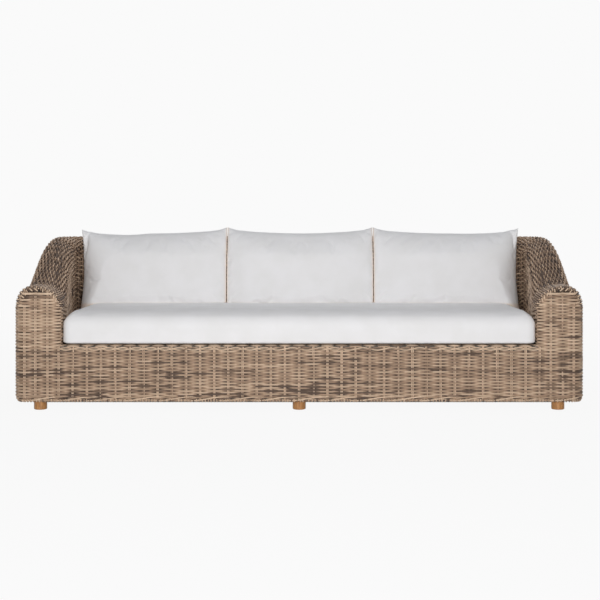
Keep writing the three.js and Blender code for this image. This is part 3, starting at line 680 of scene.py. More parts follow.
ARM_STAKE_COUNT, MIDDLE_STAKE = 10, WALL_LAST // 2
WALL_PIECES = (
    ("left_arm_{}", 0, ARM_STAKE_COUNT),
    ("right_arm_{}", WALL_LAST - ARM_STAKE_COUNT, WALL_LAST),
    ("back_{}_left", ARM_STAKE_COUNT, MIDDLE_STAKE),
    ("back_{}_right", MIDDLE_STAKE, WALL_LAST - ARM_STAKE_COUNT),
)
woven = {}
print("wall pieces:", [name.format("canes") for name, first, last in WALL_PIECES])

# %% [markdown]
# The outer face runs from the lower border to the outer shoulder of the crest. Its rows are level
# at the bottom, and rise with the sweep higher up, because every row has its share of the height.

# %% The outer face of the arms and the back
OUTER_ROWS, OUTER_PAIRS = 60, 17
outer_full = fullness_of(outer_shoulder - ROW_START, OUTER_ROWS, OUTER_PAIRS)
outer_middles, outer_weights, outer_total = row_plan(OUTER_ROWS, OUTER_PAIRS, outer_full, 11)
outer_surface = upright(outer_line, ROW_START + (outer_shoulder - ROW_START) * outer_middles)
outer_face = {
    "surface": outer_surface,
    "normals": np.broadcast_to(outer_normal, outer_surface.shape),
    "sigma": wall_sigma,
    "weights": outer_weights,
    "pitch": (outer_shoulder - ROW_START) / outer_total,
    "parity": 0,
    "seed": 2000,
    "top_radius": 0.0038,
    "packing": 0.505,
    "tone": 0.0,
    "oval": ROW_OVAL,
    "sink": WEAVE_IN,
    "loose": 0.0,
}
for name, first, last in WALL_PIECES:
    woven[name.format("outer_canes")] = weave_rows(outer_face, first, last)
print("rows on the outer face:", len(outer_surface), "of which", 2 * OUTER_PAIRS, "are short")

# %% [markdown]
# On the inner face the rows hang from the crest instead: each runs parallel to the sweep, and
# the lower ones end where they meet the deck. In the photograph they are the slanting strands
# inside the arms. Behind the back cushions the rows lie a little deeper, so that the cushions
# have their room.

# %% The inner face of the arms and the back
INNER_PITCH, BEHIND_CUSHIONS = 0.0104, 0.0080
inner_base = ROW_START + 33 * ROW_PITCH
inner_count = int((inner_shoulder.max() - inner_base) / INNER_PITCH) + 1
inner_z = inner_shoulder - (np.arange(inner_count)[:, None] + 0.5) * INNER_PITCH
inner_slope = np.gradient(inner_shoulder) / np.gradient(wall_runs)
inner_surface = upright(inner_line, inner_z)
inner_face = dict(
    outer_face,
    surface=inner_surface,
    normals=np.broadcast_to(inner_normal, inner_surface.shape),
    weights=(inner_z > inner_base).astype(float),
    pitch=INNER_PITCH / np.sqrt(1 + inner_slope**2),
    parity=1,
    seed=3000,
    packing=0.40,
    # painted shade: the inner face lies in the shade of the arm, so its canes are drawn darker
    tone=0.14,
    oval=1.0,
    loose=1.0,
)
for name, first, last in WALL_PIECES:
    sink = BEHIND_CUSHIONS if name.startswith("back") else WEAVE_IN
    woven[name.format("inner_canes")] = weave_rows(inner_face, first, last, sink=sink)
print("rows on the inner face:", inner_count)

# %% [markdown]
# The crest is woven lengthwise: its canes run along the wall and cross the stakes that bend over
# it. They are the finest of the sofa, and go over and under twice as often as the rows below. On
# the arms they run on to the front, where their ends bend over the edge as small pale nubs.

# %% The crest
CREST_ROWS, CREST_PAIRS, CREST_PITCH, CREST_START = 22, 5, 0.0088, 0.0006
CREST_RADIUS, ARM_PACKING, BACK_PACKING = 0.0034, 0.37, 0.42
# painted shade: the crest faces up, away from the front lamp, so its canes are drawn darker; near the
# front this gives way to the lighter nubs
CREST_PAINTED_SHADE, FRONT_NUB = 0.18, 0.45
before_first = np.arange(-STEPS_PER_STAKE, 0) / STEPS_PER_STAKE
after_last = WALL_LAST + np.arange(1, STEPS_PER_STAKE + 1) / STEPS_PER_STAKE
crest_sigma = np.concatenate([before_first, wall_sigma, after_last])
lead = np.linspace(CREST_START, EDGE_RUN, STEPS_PER_STAKE + 1)[:-1]
crest_runs = np.concatenate([lead, wall_runs, 2 * HALF_RUN - lead[::-1]])
crest_lines = crest(crest_runs[None, :], np.linspace(0, 1, 41)[:, None])
crest_length = np.linalg.norm(np.diff(crest_lines, axis=0), axis=-1).sum(0)
crest_full = fullness_of(crest_length, CREST_ROWS, CREST_PAIRS, CREST_PITCH)
crest_middles, crest_weights, crest_total = row_plan(CREST_ROWS, CREST_PAIRS, crest_full, 13)


def crest_frame(runs, shares):
    """Points and outward directions on the crest."""
    here = crest(runs, shares)
    step = 1e-4
    by_share = crest(runs, np.clip(shares + step, 0, 1)) - crest(runs, np.clip(shares - step, 0, 1))
    runs_next = np.clip(runs + step, 0, 2 * HALF_RUN)
    runs_last = np.clip(runs - step, 0, 2 * HALF_RUN)
    by_run = crest(runs_next, shares) - crest(runs_last, shares)
    return here, unit(np.cross(by_share, by_run))


crest_places = np.broadcast_to(crest_runs, crest_middles.shape)
crest_surface, crest_normals = crest_frame(crest_places, crest_middles)
near_front = np.minimum(crest_sigma + 1, WALL_LAST + 1 - crest_sigma)
crest_face = dict(
    inner_face,
    surface=crest_surface,
    normals=crest_normals,
    sigma=2 * crest_sigma,
    weights=crest_weights,
    pitch=crest_length / crest_total,
    parity=0,
    seed=5000,
    top_radius=CREST_RADIUS,
    tone=CREST_PAINTED_SHADE - FRONT_NUB * ease((0.75 - near_front) / 0.5),
)
CREST_LAST = WALL_LAST + 2
CREST_PIECES = (
    ("left_arm_{}", 0, ARM_STAKE_COUNT + 1),
    ("right_arm_{}", CREST_LAST - 1 - ARM_STAKE_COUNT, CREST_LAST),
    ("back_{}", ARM_STAKE_COUNT + 1, CREST_LAST - 1 - ARM_STAKE_COUNT),
)
for name, first, last in CREST_PIECES:
    packing = BACK_PACKING if name.startswith("back") else ARM_PACKING
    woven[name.format("crest_canes")] = weave_rows(crest_face, first, last, packing=packing)
print("rows on the crest:", len(crest_surface), "on a length of", round(crest_length.max(), 3), "m")

# %% [markdown]
# The holes between the crest canes show dark cane, not daylight. A weaver pads the frame tube
# with straight filler canes before the crest is woven over it, and so does this cell: the fillers
# lie under the gaps, one layer in, in the darkest tone, which paints the shade inside the holes.
# They end a little behind the front edge.

# %% Filler canes under the crest
# the darkest tone of the fillers is painted shade inside the holes of the crest
FILLER_DEPTH, FILLER_RADIUS, FILLER_SHADE_TONE, FILLER_SHORT = 0.0120, 0.0047, 0.90, 4
between = np.clip(crest_middles + 0.5 * crest_weights / crest_total, 0, 1)
filler_surface, filler_normals = crest_frame(crest_places, between)
for name, first, last in CREST_PIECES:
    start = first * STEPS_PER_STAKE + (FILLER_SHORT if first == 0 else 0)
    end = last * STEPS_PER_STAKE + 1 - (FILLER_SHORT if last == CREST_LAST else 0)
    fillers = []
    for row in range(len(between)):
        normals = filler_normals[row, start:end]
        points = filler_surface[row, start:end] - normals * FILLER_DEPTH
        thick = FILLER_RADIUS * np.clip(crest_weights[row, start:end], 0.3, 1)
        random = np.random.default_rng(5600 + row)
        fillers.append(cane(points, normals, thick, random, FILLER_SHADE_TONE))
    woven[name.format("filler_canes")] = fillers
print("filler canes in each piece:", len(between))

# %% [markdown]
# The front is one flat face that turns round the two arm corners. A place on it is a distance
# along the front, from the left side of the sofa to the right. Above the deck only the two arm
# fronts go on, and there the path turns round the inner corner of the arm as well.

# %% Paths along the front
APRON_TOP, APRON_RADIUS, LIP_DEPTH = DECK_HEIGHT, 0.012, 0.042
FRONT_ARC = math.pi / 2 * FRONT_OUTER_RADIUS
INNER_ARC = math.pi / 2 * FRONT_INNER_RADIUS
FRONT_FLAT = HALF_WIDTH - FRONT_OUTER_RADIUS
FRONT_LENGTH = 2 * FRONT_FLAT + 2 * FRONT_ARC
ARM_FLAT_END = HALF_WIDTH - ARM_FRONT_WIDTH + FRONT_INNER_RADIUS
SIDE_END = EDGE_RUN - FRONT_INNER_RADIUS


def turned(centre, radius, angle):
    """A corner of the front in plan: angle 0 faces left, a right angle faces the viewer."""
    out = np.stack([-np.cos(angle), -np.sin(angle)], -1)
    return np.array(centre) + radius * out, out


def front_path(along):
    """Plan point and outward direction along the front, from the left side to the right."""
    mirrored = along > FRONT_LENGTH / 2
    near = np.where(mirrored, FRONT_LENGTH - along, along)
    angle = np.clip(near / FRONT_OUTER_RADIUS, 0, math.pi / 2)
    point, out = turned((-FRONT_FLAT, FRONT_OUTER_RADIUS - HALF_DEPTH), FRONT_OUTER_RADIUS, angle)
    point[:, 0] += np.maximum(near - FRONT_ARC, 0)
    side = np.where(mirrored, -1.0, 1.0)
    point[:, 0] *= side
    out[:, 0] *= side
    return point, np.concatenate([out, np.zeros((len(out), 1))], -1)


def arm_front_path(along):
    """The same above the deck, round the left arm front and on to the inner face of the arm."""
    flat = FRONT_FLAT - ARM_FLAT_END
    point, out = front_path(np.minimum(along, FRONT_ARC + flat))
    past = along - FRONT_ARC - flat
    angle = math.pi / 2 + np.clip(past / FRONT_INNER_RADIUS, 0, math.pi / 2)
    bend, bend_out = turned((-ARM_FLAT_END, FRONT_INNER_RADIUS - HALF_DEPTH), FRONT_INNER_RADIUS, angle)
    beyond = past > 0
    point[beyond] = bend[beyond]
    out[beyond, :2] = bend_out[beyond]
    rest = past - INNER_ARC
    side = rest > 0
    point[side, 1] += rest[side]
    inner_x = wall(np.clip(point[side, 1] + HALF_DEPTH, 0, EDGE_RUN))[1][:, 0]
    point[side, 0] = inner_x
    return point, out


print("length of the front round both corners:", round(FRONT_LENGTH, 3), "m")

# %% [markdown]
# The stakes of the front stand where the photograph shows them on the arms, and at even steps
# between. Below the deck the rows run the whole width without a break. They are drawn a little
# darker than the side.

# %% The front face below the deck
ARM_STAKES_X = (-1.253, -1.203, -1.148, -1.097)
MIDDLE_GAPS, FULL_ROWS = 34, 29
FRONT_SHADE = 0.17
front_left = np.array(ARM_STAKES_X) + FRONT_FLAT + FRONT_ARC
front_middle = np.linspace(front_left[-1], FRONT_LENGTH - front_left[-1], MIDDLE_GAPS + 1)[1:-1]
FRONT_STAKES = np.concatenate(
    [[0], front_left, front_middle, FRONT_LENGTH - front_left[::-1], [FRONT_LENGTH]]
)
FRONT_LAST = len(FRONT_STAKES) - 1


def front_places(sigma):
    """Distance along the front of each place that is given as a stake number."""
    return np.interp(sigma, np.arange(FRONT_LAST + 1), FRONT_STAKES)


front_sigma = np.arange(FRONT_LAST * STEPS_PER_STAKE + 1) / STEPS_PER_STAKE
front_along = front_places(front_sigma)
front_plan, front_out = front_path(front_along)
front_rows = []
for row in range(FULL_ROWS):
    random = np.random.default_rng(6000 + row)
    points = upright(front_plan, ROW_START + (row + 0.5) * ROW_PITCH)
    wave = np.cos(math.pi * (front_sigma + row))
    swing = WEAVE_SWING * (1 + random.uniform(-0.1, 0.1))
    points += front_out * (swing * woven_wave(wave) - WEAVE_IN)[:, None]
    points[:, 2] += wander(front_along, row)
    thick = CANE_RADIUS * (1 + random.uniform(-0.03, 0.03)) * woven_width(wave)
    # the tone adds painted shade in the dips behind the stakes
    front_rows.append(cane(points, front_out, thick, random, crevice_shade(wave) + FRONT_SHADE, ROW_OVAL))
woven["front_canes"] = front_rows
print("stakes along the front:", FRONT_LAST + 1)

# %% [markdown]
# Above the deck each arm front is as wide as its arm and ends in the rounded outline of the
# crest. The rows below the shoulders turn round both corners and run on. The rows above them are
# shorter than the arm is wide: each turns over the edge where the outline cuts it, and its ends
# are pushed in behind the nubs of the crest.

# %% The outline of an arm front
EDGE_TOP = ARM_FRONT_HEIGHT - FRONT_INNER_RADIUS
CORNER_STAKE_PAST = 0.019
face_width = ARM_FRONT_WIDTH - FRONT_OUTER_RADIUS - FRONT_INNER_RADIUS
FACE_SHOULDERS = EDGE_TOP - OUTER_DROP * face_width, EDGE_TOP - INNER_DROP * face_width
side_length = FRONT_ARC + FRONT_FLAT - ARM_FLAT_END + INNER_ARC + SIDE_END
corner_stake = side_length - SIDE_END - INNER_ARC + CORNER_STAKE_PAST
ARM_FRONT_STAKES = np.concatenate([[0], front_left[:3], [corner_stake, side_length]])
arm_sigma = np.arange(5 * STEPS_PER_STAKE + 1) / STEPS_PER_STAKE
arm_along = np.interp(arm_sigma, np.arange(6), ARM_FRONT_STAKES)


def outline_spot(run, z, outer_side):
    """Where a level row meets the rounded top of the left arm, at a run close to the front."""
    outer_draw = edge_draw(run, FRONT_OUTER_RADIUS)
    inner_draw = edge_draw(run, FRONT_INNER_RADIUS)
    width = ARM_FRONT_WIDTH - outer_draw - inner_draw
    top = ARM_FRONT_HEIGHT - inner_draw
    drop = (OUTER_DROP if outer_side else INNER_DROP) * width
    sine = np.clip((z - top + drop) / drop, 0, 1) ** (1 / ROUND_BEND)
    cosine = np.sqrt(1 - sine**2) ** ROUND_BEND
    ridge = CREST_SHARE * width
    over = ridge * (1 - cosine) if outer_side else ridge + (width - ridge) * cosine
    radius = FRONT_OUTER_RADIUS if outer_side else FRONT_INNER_RADIUS
    lean = np.clip((radius - run) / radius, 0, 1)
    side = -1.0 if outer_side else 1.0
    spot = np.stack([outer_draw + over - HALF_WIDTH, run - HALF_DEPTH], -1)
    out = np.stack([side * np.sqrt(1 - lean**2), -lean, np.zeros(len(run))], -1)
    return spot, out


def mirror(one):
    """The same cane on the other arm."""
    flip = np.array([-1.0, 1.0, 1.0])
    return dict(one, points=one["points"] * flip, facing=one["facing"] * flip)


print("shoulders of the arm fronts at", [round(z, 3) for z in FACE_SHOULDERS], "m")

# %% [markdown]
# The rows of an arm front go on in step with those below the deck. The last three follow the
# rounded top and are set one by one, because a weaver also ends a rounded face by eye.
# The right arm is the left one mirrored, with other random numbers.

# %% The arm fronts above the deck
ROW_END_RUN, ROW_END_GAP = 0.013, 0.003
ROW_END_SINK, ROW_END_LENGTH = 0.011, 0.013
ARM_FRONT_SHADE = 0.05
LAST_PLAIN_ROW = 62
# the last rows, one by one: number, height, radius, depth, and how much lighter or darker each is
TOP_ROWS = (
    (63, 0.5185, 0.0034, 0.0035, 0.5, 0.5),
    (64, 0.5250, 0.0034, 0.0045, 0.5, 0.5),
    (65, 0.5325, 0.0045, -0.0010, 0.3, 0.0),
)


def arm_front_row(z, row, random, radius, sunk=0.0):
    """One level row of the left arm front, turned over the edge at an end above its shoulder."""
    runs = np.linspace(ROW_END_RUN, 0, 7)
    plan, out = arm_front_path(arm_along)
    cut_left, cut_right = z > FACE_SHOULDERS[0], z > FACE_SHOULDERS[1]
    if cut_left:
        spots, facing = outline_spot(runs, z, True)
        keep = plan[:, 0] > spots[-1, 0] + ROW_END_GAP
        plan, out = np.concatenate([spots, plan[keep]]), np.concatenate([facing, out[keep]])
    if cut_right:
        spots, facing = outline_spot(runs[::-1], z, False)
        keep = plan[:, 0] < spots[0, 0] - ROW_END_GAP
        plan, out = np.concatenate([plan[keep], spots]), np.concatenate([out[keep], facing])
    along = np.concatenate([[0], np.cumsum(np.linalg.norm(np.diff(plan, axis=0), axis=1))])
    # a shortened row is numbered from the stake in the middle of the arm front
    off_flat = plan[:, 1] > 0.002 - HALF_DEPTH
    at_stake = np.argmin(np.abs(plan[:, 0] - ARM_STAKES_X[1]) + 9 * off_flat)
    sigma = np.interp(along - along[at_stake] + ARM_FRONT_STAKES[2], ARM_FRONT_STAKES, np.arange(6))
    swing = WEAVE_SWING * (1 + random.uniform(-0.1, 0.1))
    wave = np.cos(math.pi * (sigma + row))
    offset = swing * woven_wave(wave) - WEAVE_IN - sunk
    if cut_left:
        offset -= ROW_END_SINK * ease(1 - along / ROW_END_LENGTH)
    if cut_right:
        offset -= ROW_END_SINK * ease(1 - (along[-1] - along) / ROW_END_LENGTH)
    points = upright(plan, z) + out * offset[:, None]
    points[:, 2] += wander(along, row)
    thick = radius * (1 + random.uniform(-0.03, 0.03))
    # the tone adds painted shade in the dips behind the stakes
    return cane(points, out, thick, random, crevice_shade(wave) + ARM_FRONT_SHADE, ROW_OVAL)


arm_rows = []
for flip in (False, True):
    rows = []
    for row in range(FULL_ROWS, LAST_PLAIN_ROW + 1):
        random = np.random.default_rng(6500 + row + 500 * flip)
        rows.append(arm_front_row(ROW_START + (row + 0.5) * ROW_PITCH, row, random, CANE_RADIUS))
    # rows 63 and 64 lie in the shadow under the thick top row: their darker tone is painted shade
    for row, height, radius, sunk, tone_share, painted_shade in TOP_ROWS:
        one = arm_front_row(height, row, random, radius, sunk)
        one["tone"] = one["tone"] * tone_share + painted_shade
        rows.append(one)
    arm_rows += [mirror(one) if flip else one for one in rows]
woven["arm_front_canes"] = arm_rows
print("rows on the arm fronts:", len(arm_rows))

# %% [markdown]
# Under the front edge of the cushion the apron ends in a twined pair: two canes that cross
# between every two stakes, one in front while the other is behind. It locks the rows
# below it and leaves the small eye-shaped openings that run along the top of the front.

# %% Twining along the top of the apron
TWINE_HEIGHT, TWINE_SWING, TWINE_DEPTH, TWINE_RADIUS = 0.2795, 0.0052, 0.0045, 0.0034
TWINE_OUT, TWINE_LIGHTER, STEPS_PER_TWIST = 0.001, -0.15, 8
first_twine, last_twine = 4, FRONT_LAST - 4
twine_sigma = np.arange(first_twine * STEPS_PER_TWIST, last_twine * STEPS_PER_TWIST + 1) / STEPS_PER_TWIST
twine_plan, twine_out = front_path(front_places(twine_sigma))
top_rows = []
for strand in (0, 1):
    phase = math.pi * (twine_sigma + strand)
    points = upright(twine_plan, TWINE_HEIGHT)
    points[:, 2] += TWINE_SWING * np.sin(phase)
    points += twine_out * (TWINE_DEPTH * np.cos(phase) - WEAVE_IN + TWINE_OUT)[:, None]
    top_rows.append(cane(points, twine_out, TWINE_RADIUS, next_random(), base_tone=TWINE_LIGHTER))
print("the twined pair crosses", last_twine - first_twine, "times")

# %% [markdown]
# Above the twining a few plain rows turn over the edge of the apron and lie on the deck's lip,
# where the seat cushion rests on them. A little slack behind the edge keeps them under it.

# %% The rolled top of the apron
LIP_ROWS, LIP_SINK, LIP_SWING, LIP_RADIUS = 8, 0.0100, WEAVE_SWING * 0.8, CANE_RADIUS * 0.95
lip_quarter = math.pi / 2 * APRON_RADIUS
lip_sigma = np.arange(first_twine * STEPS_PER_STAKE, last_twine * STEPS_PER_STAKE + 1) / STEPS_PER_STAKE
lip_x = front_path(front_places(lip_sigma))[0][:, 0]
for row in range(LIP_ROWS):
    turn = (row + 0.5) * ROW_PITCH
    angle = min(turn / APRON_RADIUS, math.pi / 2)
    facing = np.array([0, -math.cos(angle), math.sin(angle)])
    depth = -HALF_DEPTH + APRON_RADIUS * (1 - math.cos(angle)) + max(turn - lip_quarter, 0)
    height = APRON_TOP - APRON_RADIUS * (1 - math.sin(angle))
    points = np.stack([lip_x, np.full(len(lip_x), depth), np.full(len(lip_x), height)], 1)
    points += facing * (LIP_SWING * np.cos(math.pi * (lip_sigma + row + 1)) - LIP_SINK)[:, None]
    top_rows.append(cane(points, facing, LIP_RADIUS, next_random()))
woven["apron_top_canes"] = top_rows
print("canes along the top of the apron:", len(top_rows))

# %% [markdown]
# Each stake is one pair of canes from the ground to the deck: up the outside, over the crest and
# down the inside. Over the crest it lies under the fine canes and in the dark, so its tone goes
# down there.

# %% Stakes of the arms and the back
# the stakes are drawn lighter than the rows: a painted highlight where they catch the light
STAKE_IN, STAKE_RADIUS, STAKE_SPREAD, STAKE_HIGHLIGHT = 0.0036, 0.0029, 0.0031, -0.12
STAKE_FOOT, STAKE_STEP, STAKE_BELOW_DECK = 0.046, 0.022, 0.012
HIDDEN_SINK, HIDDEN_TONE, CREST_STEPS = 0.0020, 0.75, 25


def stake_pair(points, facing, random, extra_tone=0.0):
    """Two canes side by side along one path."""
    side = np.cross(facing, unit(np.gradient(points, axis=0)))
    pair = []
    for sign in (-1, 1):
        shift = STAKE_SPREAD * sign * (1 + random.uniform(-0.15, 0.15))
        radius = STAKE_RADIUS * random.uniform(0.95, 1.06)
        pair.append(cane(points + side * shift, facing, radius, random, extra_tone + STAKE_HIGHLIGHT))
    return pair


def wall_stake(number):
    """The stake with this number, from its foot outside to the deck inside."""
    spot = number * STEPS_PER_STAKE
    top_out, top_in, low = outer_shoulder[spot], inner_shoulder[spot], DECK_HEIGHT - STAKE_BELOW_DECK
    rise = np.linspace(STAKE_FOOT, top_out, int((top_out - STAKE_FOOT) / STAKE_STEP) + 1)[:-1]
    fall = np.linspace(top_in, low, int((top_in - low) / STAKE_STEP) + 1)[1:]
    run = np.full(CREST_STEPS, WALL_STAKES[number])
    over, over_out = crest_frame(run, np.linspace(0, 1, CREST_STEPS))
    points = np.concatenate([upright(outer_line[spot], rise), over, upright(inner_line[spot], fall)])
    outward, inward = outer_normal[spot][None], inner_normal[spot][None]
    facing = np.concatenate(
        [np.repeat(outward, len(rise), 0), over_out, np.repeat(inward, len(fall), 0)]
    )
    hidden = ease((np.arange(len(points)) - len(rise) + 1) / 4)
    points = points - facing * (STAKE_IN + HIDDEN_SINK * hidden)[:, None]
    return stake_pair(points, facing, np.random.default_rng(7000 + number), HIDDEN_TONE * hidden)


wall_stakes = [wall_stake(number) for number in range(WALL_LAST + 1)]
right_start = WALL_LAST - ARM_STAKE_COUNT + 1
woven["left_arm_stakes"] = sum(wall_stakes[:ARM_STAKE_COUNT], [])
woven["right_arm_stakes"] = sum(wall_stakes[right_start:], [])
woven["back_stakes"] = sum(wall_stakes[ARM_STAKE_COUNT:right_start], [])
print("stakes:", len(wall_stakes), "pairs in the arms and the back")

# %% [markdown]
# The stakes of the front go up the apron, bend over its edge and run on to the back as the
# lengthwise canes of the deck. The ones in the arm fronts end at the arm's rounded outline.

# %% Stakes of the front and the deck
JUNCTION = 1.100
ARM_TOP_ZONE, ARM_STEPS = 0.07, 24
RISE_STEPS, BEND_STEPS, DECK_STEPS, DECK_END = 13, 5, 36, 0.012


def arm_front_stake(x, y, out):
    """A stake of an arm front, up to the outline of the arm, bent in at its top."""
    heights = np.linspace(EDGE_TOP - ARM_TOP_ZONE, EDGE_TOP, 200)
    zero = np.zeros(len(heights))
    left_edge = outline_spot(zero, heights, True)[0][:, 0]
    right_edge = outline_spot(zero, heights, False)[0][:, 0]
    open_here = (-abs(x) >= left_edge) & (-abs(x) <= right_edge)
    top = heights[open_here].max() if open_here.any() else EDGE_TOP - ARM_TOP_ZONE
    facing = np.repeat(out, ARM_STEPS, 0)
    points = upright(np.array([x, y]), np.linspace(STAKE_FOOT, top, ARM_STEPS)) - facing * STAKE_IN
    points[-2:, 1] += [0.002, 0.006]
    return points, facing


def deck_stake(x):
    """A stake of the apron that bends over the edge and runs to the rear of the deck."""
    corner_limit = INNER_RADIUS**2 - max(abs(x) - CORNER_X, 0) ** 2
    rear = CORNER_Y + math.sqrt(corner_limit) if abs(x) > CORNER_X else BACK_FACE
    rise = np.linspace(STAKE_FOOT, APRON_TOP - APRON_RADIUS, RISE_STEPS)
    turn = np.linspace(0, math.pi / 2, BEND_STEPS)[1:]
    back = np.linspace(APRON_RADIUS - HALF_DEPTH, rear - DECK_END, DECK_STEPS)[1:]
    bend_y = -HALF_DEPTH + APRON_RADIUS * (1 - np.cos(turn))
    bend_z = APRON_TOP - APRON_RADIUS * (1 - np.sin(turn))
    y = np.concatenate([np.full(len(rise), -HALF_DEPTH), bend_y, back])
    z = np.concatenate([rise, bend_z, np.full(len(back), APRON_TOP)])
    angle = np.concatenate([np.zeros(len(rise)), turn, np.full(len(back), math.pi / 2)])
    facing = np.stack([np.zeros(len(angle)), -np.cos(angle), np.sin(angle)], 1)
    sink = np.where(angle > 0, LIP_SINK, STAKE_IN)
    return np.stack([np.full(len(y), x), y, z], 1) - facing * sink[:, None], facing


front_stakes = []
for number in range(1, FRONT_LAST):
    plan, out = front_path(FRONT_STAKES[number : number + 1])
    x, y = plan[0]
    points, facing = arm_front_stake(x, y, out) if abs(x) > JUNCTION else deck_stake(x)
    front_stakes += stake_pair(points, facing, np.random.default_rng(7200 + number))
woven["front_stakes"] = front_stakes
print("stakes:", len(front_stakes) // 2, "pairs in the front")

# %% [markdown]
# The deck under the seat cushion is the same weave, but open: the stakes of the front bend over
# the edge and run to the back, and rows 13 mm apart cross them. It is seen when the cushion is
# lifted, and from below.

# %% The woven deck
DECK_PITCH, DECK_START, DECK_MARGIN, DECK_SIDE = 0.0130, 0.022, 0.008, 0.010
deck_rows = []
row, y = 0, -HALF_DEPTH + LIP_DEPTH + DECK_START
while y < BACK_FACE - DECK_MARGIN:
    random = np.random.default_rng(8000 + row)
    if y <= CORNER_Y:
        half = -wall(np.array([y + HALF_DEPTH]))[1][0, 0]
    else:
        half = CORNER_X + math.sqrt(INNER_RADIUS**2 - (y - CORNER_Y) ** 2)
    half -= DECK_SIDE
    x = np.linspace(-half, half, 260)
    stake = np.interp(x, front_path(FRONT_STAKES[1:-1])[0][:, 0], np.arange(1, FRONT_LAST))
    offset = WEAVE_SWING * 0.85 * np.cos(math.pi * (stake + row)) - LIP_SINK
    points = np.stack([x, y + wander(x, row), APRON_TOP + offset], 1)
    deck_rows.append(cane(points, (0, 0, 1), LIP_RADIUS, random))
    row, y = row + 1, y + DECK_PITCH
woven["deck_canes"] = deck_rows
print("rows on the deck:", len(deck_rows))

# %% [markdown]
# The lower border is a flat plait of four canes that goes round the whole sofa. In the
# photograph it is the slanting band just above the feet. Its strands follow one closed line
# round the foot of the walls and change places as a wave.

# %% The line round the foot of the walls
ring_front = front_path(np.arange(0, FRONT_LENGTH, 0.012))[0]
ring_walls = wall(np.arange(EDGE_RUN, 2 * HALF_RUN - EDGE_RUN, 0.016))[0][::-1]
ring = np.concatenate([ring_front, ring_walls[1:], ring_front[:1]])
ring_along = np.concatenate([[0], np.cumsum(np.linalg.norm(np.diff(ring, axis=0), axis=1))])
even = np.linspace(0, ring_along[-1], 561)
ring = np.stack([np.interp(even, ring_along, ring[:, i]) for i in (0, 1)], 1)
ring_tangent = unit(np.roll(ring[:-1], -1, 0) - np.roll(ring[:-1], 1, 0))
ring_tangent = np.concatenate([ring_tangent, ring_tangent[:1]])
ring_out = np.stack([ring_tangent[:, 1], -ring_tangent[:, 0], np.zeros(len(ring))], 1)
# at the ends of the sofa the border stands back, inside the rounding of the corners
BORDER_ENDS, BORDER_END_WIDTH = 1.235, 0.05


def near_ends(x):
    return ease((np.abs(x) - BORDER_ENDS) / BORDER_END_WIDTH)


print("length round the foot of the walls:", round(even[-1], 3), "m")

# %% [markdown]
# Each strand of the plait rises and falls by 8.5 mm and goes in and out by 3.4 mm, a quarter of a
# lay after the one before it. The strands differ in tone, so that the slant of the plait shows.

# %% The plaited border
BORDER_HEIGHT, BORDER_LAY, BORDER_RISE, BORDER_DEPTH = 0.0520, 0.300, 0.0085, 0.0034
BORDER_RADIUS, BORDER_IN, BORDER_END_IN = 0.0036, 0.0035, 0.0070
BORDER_TONES = (-0.25, 0.35, -0.15, 0.5)
lays = round(even[-1] / BORDER_LAY)
border_inset = BORDER_IN + BORDER_END_IN * near_ends(ring[:, 0])
border = []
for strand, tone in enumerate(BORDER_TONES):
    phase = 2 * math.pi * (even / even[-1] * lays + strand / len(BORDER_TONES))
    points = upright(ring, BORDER_HEIGHT)
    points[:, 2] += BORDER_RISE * np.sin(phase)
    points += ring_out * (BORDER_DEPTH * np.cos(phase) - border_inset)[:, None]
    border.append(cane(points, ring_out, BORDER_RADIUS, next_random(), tone))
woven["border_canes"] = border
print("the plait has", lays, "lays of", round(even[-1] / lays, 3), "m")

# %% [markdown]
# Short wraps of cane close the edge underneath. Each comes out under the plait, goes round the
# bottom of the weave and back up inside. In the photograph they are a row of small ticks.

# %% Wraps round the lower edge
WRAP_PITCH, WRAP_RADIUS, WRAP_LEAN, WRAP_END_IN = 0.0135, 0.0033, 0.003, 0.0080
WRAP_LOOP, WRAP_LOW, WRAP_HEIGHT = 0.0085, 0.0072, 0.0455
WRAP_OUTER_TOP, WRAP_INNER_TOP = 0.0515, 0.0560
wraps = []
wrap_count = round(even[-1] / WRAP_PITCH)
wrap_turn = np.linspace(0, math.pi, 9)
wrap_depth = np.concatenate([[0], WRAP_LOOP * np.cos(wrap_turn) - WRAP_LOOP, [-2 * WRAP_LOOP]])
loop_z = WRAP_HEIGHT - WRAP_LOW * np.sin(wrap_turn)
wrap_z = np.concatenate([[WRAP_OUTER_TOP], loop_z, [WRAP_INNER_TOP]])
wrap_angle = np.concatenate([[0], wrap_turn, [math.pi]])
for spot in (np.arange(wrap_count) + 0.5) / wrap_count * even[-1]:
    random = next_random()
    at = np.array([np.interp(spot, even, ring[:, i]) for i in (0, 1)])
    out = unit(np.array([np.interp(spot, even, ring_out[:, i]) for i in (0, 1, 2)]))
    lean = np.cross(out, [0, 0, 1]) * random.uniform(-WRAP_LEAN, WRAP_LEAN)
    depth = wrap_depth - WRAP_END_IN * near_ends(at[0])
    points = upright(at, wrap_z) + out * depth[:, None]
    points += lean * np.linspace(-1, 1, len(points))[:, None]
    facing = out * np.cos(wrap_angle)[:, None]
    facing[:, 2] -= np.sin(wrap_angle)
    wraps.append(cane(points, facing, WRAP_RADIUS, random))
woven["border_wraps"] = wraps
print("wraps:", wrap_count)

# %% [markdown]
# Every list of canes now becomes one piece, with the finish of the cane, which rides on the body
# of the sofa. The CAD nodes that it stands for, the smooth woven skins, are hidden, and stay behind
# the canes for collision only.

